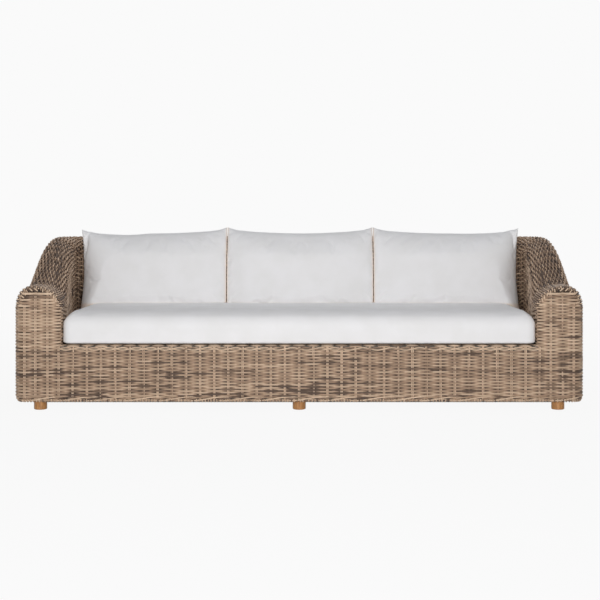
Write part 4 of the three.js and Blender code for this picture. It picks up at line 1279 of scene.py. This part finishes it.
# %% Make the woven pieces
STANDS_FOR = {
    "left_arm": ("left_arm_weave",),
    "right_arm": ("right_arm_weave",),
    "back": ("back_weave",),
    "front": ("front_apron_weave", "left_arm_weave", "right_arm_weave"),
    "arm_front": ("left_arm_weave", "right_arm_weave"),
    "apron": ("front_apron_weave",),
    "deck": ("seat_deck_weave",),
    "border": ("left_arm_weave", "right_arm_weave", "back_weave", "front_apron_weave"),
}
for name, canes in woven.items():
    piece = cane_object(name, canes, cane_finish)
    place = max((key for key in STANDS_FOR if name.startswith(key)), key=len)
    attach(piece, "sofa")
    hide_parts(*STANDS_FOR[place])
print("woven pieces:", len(woven))

# %% [markdown]
# The cushions are sewn covers of off-white outdoor canvas: solution-dyed acrylic yarn in a plain
# weave. To the eye it is quite matt, with a faint glow at its edges from loose fibre, which a
# little sheen gives. Two sets of ridges at right angles make the weave, broken by the uneven
# thickness of the yarn. A real thread is about 0.5 mm wide. That is too fine to show in the
# render, so the threads are drawn 0.9 mm apart.
#
# The weave is laid in the object's own space and not on a map, so it needs no unwrapping. Beside
# each seam a warm line is painted, the light reflected into it from the cane and the seat, which
# every cushion carries as a stored value.

# %% Finish of the cloth
CLOTH_LIGHT, CLOTH_SHADE, SEAM_REFLECTION_TONE = "#f1f0f1", "#edecec", "#f0d8c0"
THREAD_PITCH = 0.0009
SLUB_LENGTH = 4 * THREAD_PITCH
FOLD_TONE_SIZE = 0.1111

cloth_finish, tree, shader = new_finish("woven_acrylic_canvas")
where = add_node(tree, "TexCoord").outputs["Object"]
fold_tone = add_node(tree, "TexNoise", {"Vector": where, "Scale": 1 / FOLD_TONE_SIZE, "Detail": 3.0})
cloth_colour = add_node(
    tree, "ValToRGB", {"Fac": fold_tone.outputs[0]}, stops=[(0.35, CLOTH_SHADE), (0.65, CLOTH_LIGHT)]
)
# the warm tint at the seams is painted reflected light
seam_share = add_node(tree, "Attribute", attribute_name="seam")
seam_colour = add_node(
    tree,
    "Mix",
    {"Factor": seam_share.outputs["Fac"], "A": cloth_colour.outputs[0], "B": linear(SEAM_REFLECTION_TONE)},
    data_type="RGBA",
)
tree.links.new(seam_colour.outputs["Result"], shader.inputs["Base Color"])
spot = add_node(tree, "SeparateXYZ", {"Vector": where})
rise = add_node(tree, "Math", {0: spot.outputs["Y"], 1: spot.outputs["Z"]}, operation="ADD")
threads = []
for line in (spot.outputs["X"], rise.outputs[0]):
    angle = add_node(tree, "Math", {0: line, 1: 2 * math.pi / THREAD_PITCH}, operation="MULTIPLY")
    threads.append(add_node(tree, "Math", {0: angle.outputs[0]}, operation="SINE").outputs[0])
plain_weave = add_node(tree, "Math", {0: threads[0], 1: threads[1]}, operation="MAXIMUM")
slub = add_node(tree, "TexNoise", {"Vector": where, "Scale": 1 / SLUB_LENGTH, "Detail": 2.0})
thread_height = add_node(
    tree, "Math", {0: plain_weave.outputs[0], 1: slub.outputs[0]}, operation="MULTIPLY"
)
weave_relief = add_node(
    tree, "Bump", {"Strength": 0.30, "Distance": 0.0003, "Height": thread_height.outputs[0]}
)
tree.links.new(weave_relief.outputs[0], shader.inputs["Normal"])
shader.inputs["Roughness"].default_value = 0.9
shader.inputs["Sheen Weight"].default_value = 0.15
print(cloth_finish.name, "with threads", THREAD_PITCH * 1000, "mm apart")

# %% [markdown]
# The small finishes are all speckled in one way or another: foam by its open cells, powder coat
# by its orange-peel skin, zinc plating by its crystals, zip tape by its weave. One function makes
# such a finish from two close colours and the size of its grit in millimetres. The real grit is a
# few tenths of a millimetre. It is drawn as coarse as it needs to show.


# %% Speckled finishes and the foam
def speckled(name, dark, light, grit_mm, roughness, metallic=0.0, bump=0.2):
    material, tree, shader = new_finish(name)
    where = add_node(tree, "TexCoord")
    grit = add_node(
        tree, "TexNoise", {"Vector": where.outputs["Object"], "Scale": 1000 / grit_mm, "Detail": 3.0}
    )
    ramp = add_node(tree, "ValToRGB", {"Fac": grit.outputs[0]}, stops=[(0.3, dark), (0.7, light)])
    tree.links.new(ramp.outputs[0], shader.inputs["Base Color"])
    relief = add_node(tree, "Bump", {"Strength": bump, "Distance": 0.0003, "Height": grit.outputs[0]})
    tree.links.new(relief.outputs[0], shader.inputs["Normal"])
    shader.inputs["Roughness"].default_value = roughness
    shader.inputs["Metallic"].default_value = metallic
    return material


foam_finish = speckled("open_cell_foam", "#d9cfae", "#ece4c8", 1.667, roughness=0.95, bump=0.6)
print(foam_finish.name)

# %% [markdown]
# A cushion has to keep to its room: on the seat cushion, in front of the woven back, and beside
# its neighbour. This cell holds the sizes of that room and the height of the seat under any
# point, which the back cushions rest on.

# %% The seat's form and the cushions' room
SEAT_HALF = np.array([1.084, 0.411, 0.071])
SEAT_MIDDLE = np.array([0.0, -0.060, 0.371])
SEAT_RADIUS, SEAT_TOP, SEAT_CROWN = 0.042, 0.442, 0.001
REAR_LIMIT = 0.3517
CORNER_ROOM, CORNER_GAP = 0.172, 0.003
CUSHION_MIDDLES = {"left": -0.750, "centre": 0.0, "right": 0.750}
CUSHION_HALF, NEIGHBOUR_LIMIT = 0.3748, 0.3749
SEAM_WIDTH = 0.004
CLEARANCE = 0.0004


def seat_crown(across, along):
    """Rise of the seat's top above its edges, at shares of its half width and depth."""
    return SEAT_CROWN * (1 - across**12) * (1 - along**6)


def seat_surface(x, y):
    """Height of the seat cushion's top under a point, with its crown and its round ends."""
    across = np.clip(np.abs(x) / SEAT_HALF[0], 0, 1)
    along = np.clip(np.abs(y - SEAT_MIDDLE[1]) / SEAT_HALF[1], 0, 1)
    past = np.clip(np.abs(x) - (SEAT_HALF[0] - SEAT_RADIUS), 0, SEAT_RADIUS)
    drop = SEAT_RADIUS - np.sqrt(SEAT_RADIUS**2 - past**2)
    return SEAT_TOP + seat_crown(across, along) - drop


def rear_room(x):
    """How far back a back cushion may reach at this x, inside the rounded rear corner."""
    past = np.clip(np.abs(x) - CORNER_X, 0, CORNER_ROOM)
    return np.minimum(REAR_LIMIT, CORNER_Y - CORNER_GAP + np.sqrt(CORNER_ROOM**2 - past**2))


print("room behind the cushions at the corners:", np.round(rear_room(np.array([0, 1.0, 1.1])), 3))

# %% [markdown]
# A scatter-back cushion is two panels joined at one seam all round: it is fullest in the middle,
# thins to the seam, and its corners stand out as points, or ears. It could be modelled by hand
# from a squeezed box. Here the two panels come from formulas, because they have to be the same
# form as the CAD solid and stay in its place. The two outer cushions lean into the arms, so their
# lower outer corners slump forward and down beside the seat cushion.

# %% The form of a back cushion
CUSHION_FOOT, CUSHION_RISE = SEAT_TOP + SEAT_CROWN - 0.0160, 0.3757
# each ear is a sum of two powers: a long slow rise and a short steep one, inner and outer side
EARS = ((0.018, 1.7), (0.014, 12)), ((0.014, 3.0), (0.015, 12))
TOP_SAG = {"left": 0.009, "centre": 0.0, "right": 0.002}
SIDE_DRAW = 0.009
SIDE_POWERS, TOP_POWER, FOOT_POWER = (4, 7), 2.6, 40
SEAM_PLANE, SEAM_REAR_LOW, SEAM_REAR_HIGH, SEAM_FORWARD = 0.355, 0.097, 0.072, 0.085
BULGE, FOOT_SPREAD = 0.112, 0.022
SLUMP, SLUMP_START, SLUMP_WIDTH, SLUMP_TOP = np.array([0.000, -0.050, -0.040]), 0.62, 0.36, 0.40
COLUMNS, ROWS_UP = 84, 48


def spread_out(count):
    """Grid lines from -1 to 1 that crowd towards the seam."""
    even = np.linspace(-1, 1, count + 1)
    return 0.5 * even + 0.5 * np.sin(even * math.pi / 2)


def pillow(middle, sag):
    """Front and rear panel of one back cushion. The corner by an arm slumps beside the seat."""
    u, v = np.meshgrid(spread_out(COLUMNS), spread_out(ROWS_UP), indexing="ij")
    h = (v + 1) / 2
    outward = np.sign(middle)
    outer_side = u * outward > 0
    draw = np.where(outer_side, SIDE_DRAW, 0.0)
    x = middle + CUSHION_HALF * u - np.sign(u) * draw * np.abs(u) ** 4 * (1 - v**2)
    ears = [sum(size * np.abs(u) ** power for size, power in ear) for ear in EARS]
    ear = np.where(outer_side, ears[1], ears[0])
    z = CUSHION_FOOT + CUSHION_RISE * h + (ear - sag * ease(u * outward / 0.4)) * h**2
    side_power = np.where(outer_side, SIDE_POWERS[1], SIDE_POWERS[0])
    side = np.sqrt(np.maximum(1 - np.abs(u) ** side_power, 0))
    fullness = side * np.sqrt(np.maximum(1 - np.abs(v) ** np.where(v < 0, FOOT_POWER, TOP_POWER), 0))
    limit = rear_room(x)
    seam_rear = SEAM_REAR_LOW + (SEAM_REAR_HIGH - SEAM_REAR_LOW) * h
    forward = SEAM_FORWARD * np.where(outer_side, 0.0, np.abs(u) ** 10) * (1 - h**4)
    seam = np.minimum(SEAM_PLANE - seam_rear, limit - 0.008) - forward
    front = seam - (BULGE - forward) * fullness - FOOT_SPREAD * fullness * (1 - h) ** 2
    rear = np.minimum(seam + BULGE * fullness, limit)
    slump = ease((u * outward - SLUMP_START) / SLUMP_WIDTH) * ease((SLUMP_TOP - h) / SLUMP_TOP)
    return [np.stack([x, y, z], -1) + SLUMP * slump[..., None] for y in (front, rear)]


def pillow_mesh(panels):
    """Joins the front and the rear panel at their common edge, the seam."""
    front, rear = panels
    across, up = front.shape[:2]
    index = np.arange(across * up).reshape(across, up)
    inside = np.ones((across, up), bool)
    inside[[0, -1]] = False
    inside[:, [0, -1]] = False
    rear_index = index.copy()
    rear_index[inside] = across * up + np.arange(inside.sum())
    points = np.concatenate([front.reshape(-1, 3), rear[inside]])
    front_faces = np.stack([index[:-1, :-1], index[1:, :-1], index[1:, 1:], index[:-1, 1:]], -1)
    rear_faces = np.stack(
        [rear_index[:-1, :-1], rear_index[:-1, 1:], rear_index[1:, 1:], rear_index[1:, :-1]], -1
    )
    faces = np.concatenate([front_faces.reshape(-1, 4), rear_faces.reshape(-1, 4)])
    return points, faces, np.nonzero(~inside.ravel())[0]


print("points in one panel:", (COLUMNS + 1) * (ROWS_UP + 1))

# %% [markdown]
# The folds come from a short cloth simulation. The cover is cut a little too large for its
# filling, its seam is held, and air pressure stands in for the filling, so the spare cloth
# gathers in soft folds towards the seams and corners, as it does on the sewn cushion. Folds could
# be sculpted too, but the simulation gets their rhythm right by itself. Gravity is off, because
# the filling carries the cloth. Left free, the cover would blow up well past its place, so the
# simulation gives the way that each point goes, and a limit says how far it may go.


# %% Cloth simulation
def read_vectors(values):
    """The three numbers of every point of a mesh, as an array."""
    field = "co" if hasattr(values[0], "co") else "vector"
    numbers = np.empty(len(values) * 3, np.float32)
    values.foreach_get(field, numbers)
    return numbers.reshape(-1, 3).astype(float)


def write_points(made, points):
    made.data.vertices.foreach_set("co", points.astype(np.float32).ravel())
    made.data.update()


def settle(made, held, growth, pressure, frames, cap, give):
    """Lets the cloth find its folds. The filling lets no point in by more than give."""
    start, normals = read_vectors(made.data.vertices), read_vectors(made.data.vertex_normals)
    group = made.vertex_groups.new(name="held")
    group.add([int(point) for point in held], 1.0, "REPLACE")
    cloth = made.modifiers.new("settle", "CLOTH")
    cloth.settings.quality = 6
    cloth.settings.mass = 0.25
    cloth.settings.tension_stiffness = cloth.settings.compression_stiffness = 18
    cloth.settings.shear_stiffness = 8
    cloth.settings.bending_stiffness = 0.35
    cloth.settings.air_damping = 2.0
    cloth.settings.use_pressure = True
    cloth.settings.uniform_pressure_force = pressure
    cloth.settings.shrink_min = -growth
    cloth.settings.vertex_group_mass = "held"
    cloth.settings.effector_weights.gravity = 0
    cloth.collision_settings.use_collision = False
    cloth.point_cache.frame_start, cloth.point_cache.frame_end = 1, frames
    for frame_number in range(1, frames + 1):
        scene.frame_set(frame_number)
    evaluated = made.evaluated_get(bpy.context.evaluated_depsgraph_get())
    moved = read_vectors(evaluated.data.vertices) - start
    inward = np.sum(moved * normals, axis=1, keepdims=True)
    moved += np.maximum(-give - inward, 0) * normals
    far = np.linalg.norm(moved, axis=1, keepdims=True)
    share = np.minimum(1, cap / np.maximum(far, 1e-9))
    made.modifiers.remove(cloth)
    made.vertex_groups.remove(group)
    scene.frame_set(1)
    free, kept = round(float(far.mean()) * 1000, 1), round(float((far * share).mean()) * 1000, 1)
    print(made.name, "would move by", free, "mm on average, and moves by", kept, "mm")
    return start + moved * share


# %% [markdown]
# Two more things are the same for every cushion. The filling in the scene is the settled cover
# again, a few millimetres inside it, so that it never shows through a fold. And every soft piece
# rides on its body and hides the CAD node that it stands for.

# %% Fillings and soft pieces
FILLING_INSET = 0.004


def add_filling(name, cover):
    """The filling follows the settled cover, a little inside it all round."""
    points = read_vectors(cover.data.vertices)
    normals = read_vectors(cover.data.vertex_normals)
    faces = [tuple(polygon.vertices) for polygon in cover.data.polygons]
    return mesh_object(name, points - FILLING_INSET * normals, faces, foam_finish)


def soft_piece(piece, body, node):
    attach(piece, body)
    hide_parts(node)


print("fillings lie", FILLING_INSET * 1000, "mm inside their covers")

# %% [markdown]
# Each back cushion is settled, and then fitted: the zip's bed is pressed into its rear, and no
# point may go into the woven back, the seat or the cushion beside. The stored value "seam" is the
# share of painted warm reflection: strongest at the side seams and along the foot of the front
# panel. One level of subdivision rounds what is left of the grid.

# %% Back cushions
BACK_ZIP_Z, ZIP_HALF_LENGTH, ZIP_HALF_WIDTH, ZIP_REGION = SEAT_TOP + 0.082, 0.206, 0.0095, 0.30
SEAM_LINE, SEAM_FADE, FOOT_SEAM = 0.250, 0.06, 0.6


def fit_back_cushion(points, middle, zip_front):
    """Keeps a cushion to its room, with a bed for its zip."""
    in_bed = (
        (np.abs(points[:, 2] - BACK_ZIP_Z) < ZIP_HALF_WIDTH)
        & (np.abs(points[:, 0] - middle) < ZIP_HALF_LENGTH)
        & (points[:, 1] > ZIP_REGION)
    )
    points[:, 1] = np.minimum(points[:, 1], rear_room(points[:, 0]))
    points[in_bed, 1] = np.minimum(points[in_bed, 1], zip_front - CLEARANCE)
    lowest = seat_surface(points[:, 0], points[:, 1]) + CLEARANCE
    on_seat = np.abs(points[:, 0]) < SEAT_HALF[0] - 0.004
    points[on_seat, 2] = np.maximum(points[on_seat, 2], lowest[on_seat])
    if middle <= 0:
        points[:, 0] = np.minimum(points[:, 0], middle + NEIGHBOUR_LIMIT)
    if middle >= 0:
        points[:, 0] = np.maximum(points[:, 0], middle - NEIGHBOUR_LIMIT)
    return points


def seam_share_of(points, middle):
    """Painted warm reflection: 1 on seams beside a neighbour and along the foot in front, 0 away."""
    beside = np.abs(points[:, 0] - middle) if middle == 0 else (middle - points[:, 0]) * np.sign(middle)
    from_side = np.clip(1 - beside / CUSHION_HALF, 0, 1) * CUSHION_HALF
    from_foot = np.clip(points[:, 2] - SEAT_TOP - SEAT_CROWN, 0, 1)
    on_front = ease((SEAM_LINE - points[:, 1]) / SEAM_FADE)
    share = np.exp(-from_side / SEAM_WIDTH) + FOOT_SEAM * np.exp(-from_foot / SEAM_WIDTH) * on_front
    return np.clip(share, 0, 1)


for place, middle in CUSHION_MIDDLES.items():
    body = f"back_cushion_{place}"
    points, faces, seam = pillow_mesh(pillow(middle, TOP_SAG[place]))
    cushion = mesh_object(f"{body}_cloth", points, faces, cloth_finish)
    points = settle(cushion, seam, growth=0.030, pressure=6.0, frames=20, cap=0.024, give=0.004)
    points = fit_back_cushion(points, middle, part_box(f"{body}_zip")[0][1])
    write_points(cushion, points)
    store_values(cushion.data, "seam", seam_share_of(points, middle))
    smooth = cushion.modifiers.new("finer", "SUBSURF")
    smooth.levels = smooth.render_levels = 1
    soft_piece(cushion, body, f"{body}_cover")
    soft_piece(add_filling(f"{body}_foam", cushion), body, f"{body}_filling")
    print(cushion.name, "has", len(points), "points")

# %% [markdown]
# The seat cushion is one long boxed cushion: a block of firm foam in a tight cover, crowned on
# top, with a round edge all round. It has been sat on. The front edge droops, the lower edge is
# drawn tight by its seam, and the ends pull in a little between the corners. The form is a box
# of grid points that are pulled onto the rounded box, then moved by these effects one by one.

# %% The form of the seat cushion
SEAT_GRID, SEAT_DRAW = 0.022, 0.005
FRONT_DROOP, FRONT_DROOP_START = 0.021, 0.270
# heights of the round edges before and after the filling settled, from the middle of the cushion
EDGE_BEFORE, EDGE_AFTER = (-0.071, -0.029, 0.029, 0.072), (-0.071, -0.061, 0.020, 0.072)


def box_lines(half):
    """Grid lines over a rounded box: even on the flat, and at even angles in the rounding."""
    turns = SEAT_RADIUS * np.tan(np.radians([45, 36, 27, 18, 9]))
    straight = half - SEAT_RADIUS
    flat = np.linspace(-straight, straight, max(round(2 * straight / SEAT_GRID), 1) + 1)
    return np.concatenate([-straight - turns, flat, straight + turns[::-1]])


def rounded_box():
    """Points and faces of the seat's rounded box, about its own middle."""
    lines = [box_lines(half) for half in SEAT_HALF]
    points, faces = [], []
    base = 0
    for axis in range(3):
        a, b = (axis + 1) % 3, (axis + 2) % 3
        first, second = np.meshgrid(lines[a], lines[b], indexing="ij")
        for sign in (-1, 1):
            grid = np.zeros(first.shape + (3,))
            grid[..., a], grid[..., b] = first, second
            grid[..., axis] = sign * SEAT_HALF[axis]
            index = base + np.arange(first.size).reshape(first.shape)
            quad = np.stack([index[:-1, :-1], index[1:, :-1], index[1:, 1:], index[:-1, 1:]], -1)
            faces.append((quad if sign > 0 else quad[..., ::-1]).reshape(-1, 4))
            points.append(grid.reshape(-1, 3))
            base += first.size
    points, faces = np.concatenate(points), np.concatenate(faces)
    core = np.clip(points, -(SEAT_HALF - SEAT_RADIUS), SEAT_HALF - SEAT_RADIUS)
    points = core + SEAT_RADIUS * unit(points - core)
    kept, back = np.unique(np.round(points, 7), axis=0, return_inverse=True)
    return kept, back.reshape(-1)[faces]


def seat_form(points):
    """The rounded box after years of use, in its place on the deck."""
    x, y = (points / SEAT_HALF).T[:2]
    points[:, 2] += np.where(points[:, 2] > 0, seat_crown(x, y), 0.0)
    points[:, 0] -= np.sign(x) * SEAT_DRAW * np.abs(x) ** 8 * (1 - y**2)
    local = points[:, 2].copy()
    droop = (-points[:, 1] - FRONT_DROOP_START) / (SEAT_HALF[1] - FRONT_DROOP_START)
    points[:, 2] = np.interp(local, EDGE_BEFORE, EDGE_AFTER)
    points[:, 2] -= FRONT_DROOP * np.clip(droop, 0, 1) ** 2 * np.clip((local + 0.029) / 0.1, 0, 1)
    points += SEAT_MIDDLE
    corner = np.stack([np.abs(points[:, 0]) - CORNER_X, points[:, 1] - CORNER_Y], 1)
    reach = np.linalg.norm(corner, axis=1)
    over = (corner > 0).all(1) & (reach > CORNER_ROOM)
    scale = CORNER_ROOM / reach[over]
    points[over, 0] = np.sign(points[over, 0]) * (CORNER_X + corner[over, 0] * scale)
    points[over, 1] = CORNER_Y + corner[over, 1] * scale
    return points


points, faces = rounded_box()
points = seat_form(points)
seat = mesh_object("seat_cushion_cloth", points, faces, cloth_finish)
print("seat cushion:", len(faces), "faces, top at", round(points[:, 2].max(), 4), "m")

# %% [markdown]
# The tight cover of the seat moves only a few millimetres in its simulation, held by the bottom,
# which lies flat on the deck. Its zip runs along the rear face, in a bed as wide as its tape.

# %% Seat cushion
SEAT_BED_HALF, SEAT_BED_END = 0.012, 0.010
flat_bottom = np.nonzero(points[:, 2] < DECK_HEIGHT + 0.004)[0]
points = settle(
    seat, flat_bottom, growth=0.006, pressure=6.0, frames=16, cap=0.006, give=CLEARANCE
)
zip_low, zip_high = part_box("seat_cushion_zip")
in_bed = (
    (np.abs(points[:, 2] - SEAT_MIDDLE[2]) < SEAT_BED_HALF)
    & (np.abs(points[:, 0]) < zip_high[0] + SEAT_BED_END)
    & (points[:, 1] > ZIP_REGION)
)
points[in_bed, 1] = np.minimum(points[in_bed, 1], zip_low[1] - CLEARANCE)
write_points(seat, points)
store_values(seat.data, "seam", np.zeros(len(points)))
filling = add_filling("seat_cushion_foam", seat)
soft_piece(filling, "seat_cushion", "seat_cushion_filling")
soft_piece(seat, "seat_cushion", "seat_cushion_cover")
print("the bed of the seat's zip has", int(in_bed.sum()), "points")

# %% [markdown]
# The feet are turned from teak and oiled. Teak is a warm brown wood with fine dark pores in long
# lines, and the grain runs up the foot, so the pattern is stretched to eight times its width
# along Z. The pores are about 0.3 mm wide. They are too fine to show, so they are drawn 3 mm
# wide. Oil leaves the wood satin, not glossy.

# %% Teak feet
TEAK_LIGHT, TEAK_DARK = "#c99257", "#8f5f34"
TEAK_LINE, TEAK_STRETCH = 0.00303, 0.12
teak_finish, tree, shader = new_finish("oiled_turned_teak")
where = add_node(tree, "TexCoord")
lengthwise = add_node(
    tree, "Mapping", {"Vector": where.outputs["Object"], "Scale": (1.0, 1.0, TEAK_STRETCH)}
)
grain_lines = add_node(
    tree,
    "TexNoise",
    {"Vector": lengthwise.outputs[0], "Scale": 1 / TEAK_LINE, "Detail": 4.0, "Distortion": 0.4},
)
teak_colour = add_node(
    tree, "ValToRGB", {"Fac": grain_lines.outputs[0]}, stops=[(0.3, TEAK_DARK), (0.7, TEAK_LIGHT)]
)
tree.links.new(teak_colour.outputs[0], shader.inputs["Base Color"])
grain_relief = add_node(
    tree, "Bump", {"Strength": 0.3, "Distance": 0.0005, "Height": grain_lines.outputs[0]}
)
tree.links.new(grain_relief.outputs[0], shader.inputs["Normal"])
shader.inputs["Roughness"].default_value = 0.5
print(teak_finish.name)

# %% [markdown]
# The other pieces of the frame keep their CAD shapes. They only get their finishes:
# the tubes, bars and rails are aluminium with a dark brown powder coat, matt and faintly pebbled;
# the bolts are zinc-plated steel, a cool grey metal with a soft shine; the zips are tape woven
# from off-white yarn; the sliders are cast zinc with nickel plate, the brightest metal here.

# %% Finishes of the pieces from the frame
FINISHES = {
    "foot_bolt": speckled("zinc_plated_steel", "#8d9196", "#b9bcc0", 2.381, 0.38, metallic=1.0),
    "foot_": teak_finish,
    "_zip_slider": speckled("nickel_plated_zinc", "#9a9a98", "#c8c7c4", 2.0, 0.3, 1.0, bump=0.1),
    "_zip": speckled("woven_zip_tape", "#cfcac4", "#e2ded9", 1.25, 0.8),
    "_filling": foam_finish,
}
# the dark brown is partly painted shade: besides the coat's colour it gives the shade seen through the
# holes of the weave
frame_finish = speckled("powder_coated_aluminium", "#3b2f26", "#483a2f", 1.111, 0.5, bump=0.3)
for name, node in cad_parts.items():
    kinds = [kind for kind in FINISHES if name.startswith(kind) or name.endswith(kind)]
    for slot in node.material_slots:
        slot.material = FINISHES[kinds[0]] if kinds else frame_finish
print("pieces of the frame with a finish:", len(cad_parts))

# %% [markdown]
# The sofa stands on a plain pale floor, in a pale room without walls. What the camera sees of
# the floor and the room is a flat near-white, as in the photograph, while the light on the
# object comes from the lamps. Light paths tell the two apart: a ray from the camera, or one that
# a metal or glass sends on, sees the plain colour, and every other ray sees the lit floor. Only
# under the sofa does the camera see the real floor, so that the sofa keeps its shadow.

# %% Floor
BACKGROUND, FLOOR_COLOUR = "#fafafa", "#f0f0f0"
SHADOW_SIDES, SHADOW_FRONT, SHADOW_BACK = (1.25, 1.29), (-0.235, -0.205), (0.44, 0.72)
FLOOR_FADE, FLOOR_NEAR = (1.5, 6.0), 0.965


def seen_directly(tree):
    """1 where the camera sees a surface, also in a mirror or through glass, else 0."""
    rays = add_node(tree, "LightPath").outputs
    seen = rays["Is Camera Ray"]
    for kind in ("Is Glossy Ray", "Is Transmission Ray"):
        seen = add_node(tree, "Math", {0: seen, 1: rays[kind]}, operation="MAXIMUM").outputs[0]
    return seen


floor_finish, tree, shader = new_finish("plain_pale_floor")
shader.inputs["Base Color"].default_value = linear(FLOOR_COLOUR)
shader.inputs["Roughness"].default_value = 0.9
plain = add_node(tree, "Emission", {"Color": linear(BACKGROUND), "Strength": 1.0})
place = add_node(tree, "TexCoord").outputs["Object"]
away = add_node(tree, "VectorMath", {0: place}, operation="LENGTH")
fade = add_node(
    tree,
    "MapRange",
    {"Value": away.outputs["Value"], "From Min": FLOOR_FADE[0], "From Max": FLOOR_FADE[1],
     "To Min": FLOOR_NEAR, "To Max": 1.0},
)
spot = add_node(tree, "SeparateXYZ", {"Vector": place})
sideways = add_node(tree, "Math", {0: spot.outputs["X"]}, operation="ABSOLUTE")
under = 1.0
for value, (low, high), start, end in (
    (spot.outputs["Y"], SHADOW_FRONT, 0.0, 1.0),
    (spot.outputs["Y"], SHADOW_BACK, 1.0, 0.0),
    (sideways.outputs[0], SHADOW_SIDES, 1.0, 0.0),
):
    edge = add_node(
        tree,
        "MapRange",
        {"Value": value, "From Min": low, "From Max": high, "To Min": start, "To Max": end},
        interpolation_type="SMOOTHSTEP",
    )
    under = add_node(tree, "Math", {0: under, 1: edge.outputs[0]}, operation="MULTIPLY").outputs[0]
open_floor = add_node(tree, "Math", {0: 1.0, 1: under}, operation="SUBTRACT")
share = seen_directly(tree)
for factor in (fade, open_floor):
    share = add_node(tree, "Math", {0: share, 1: factor.outputs[0]}, operation="MULTIPLY").outputs[0]
mixed = add_node(tree, "MixShader", {0: share, 1: shader.outputs[0], 2: plain.outputs[0]})
tree.links.new(mixed.outputs[0], tree.nodes["Material Output"].inputs["Surface"])
FLOOR_CORNERS = [(-30, -12, 0), (30, -12, 0), (30, 60, 0), (-30, 60, 0)]
floor = mesh_object("floor", FLOOR_CORNERS, [(0, 1, 2, 3)], floor_finish, False)
print(floor_finish.name)

# %% [markdown]
# The room itself gives a fifth of full light from every side, which opens the shadows between
# the canes. The camera sees it in the same near-white as the floor, so no horizon shows.

# %% World
ROOM_LIGHT = 0.20
world = bpy.data.worlds.new("pale_room")
scene.world = world
world.use_nodes = True
tree = world.node_tree
background = tree.nodes["Background"]
background.inputs["Color"].default_value = linear("#ffffff")
background.inputs["Strength"].default_value = ROOM_LIGHT
pale = add_node(tree, "Background", {"Color": linear(BACKGROUND), "Strength": 1.0})
mixed = add_node(
    tree, "MixShader", {0: seen_directly(tree), 1: background.outputs[0], 2: pale.outputs[0]}
)
tree.links.new(mixed.outputs[0], tree.nodes["World Output"].inputs["Surface"])
print("room light", ROOM_LIGHT)

# %% [markdown]
# Three large soft lamps light the sofa, as in a product studio. The main one stands in front, a
# little above the camera, and gives the cushions their even white. A weak cool one overhead
# models their tops, and one behind keeps the rear from going dark in the other views.


# %% Lamps
def soft_lamp(name, place, size, power, target=(0, 0, 0.4)):
    lamp = bpy.data.lights.new(name, "AREA")
    lamp.shape = "RECTANGLE"
    lamp.size, lamp.size_y = size
    lamp.energy = power
    made = bpy.data.objects.new(name, lamp)
    made.location = place
    aim = np.array(target) - np.array(place)
    flat = math.hypot(aim[0], aim[1])
    made.rotation_euler = (math.atan2(flat, -aim[2]), 0, math.atan2(-aim[0], aim[1]))
    scene.collection.objects.link(made)
    print(name, power, "W")
    return made


soft_lamp("front_light", (-0.1, -5.2, 1.25), (3.6, 2.0), 158)
top_light = soft_lamp("top_light", (0.0, 0.4, 3.4), (4.0, 2.0), 18)
top_light.data.color = (0.88, 0.92, 1.0)
soft_lamp("back_light", (1.5, 5.0, 2.2), (4.0, 2.5), 75)

# %% [markdown]
# Colours are shown as they are, without a film look, so a hex value in this file is about the
# value in the picture.

# %% View
scene.view_settings.view_transform = "Standard"
print("view transform", scene.view_settings.view_transform)
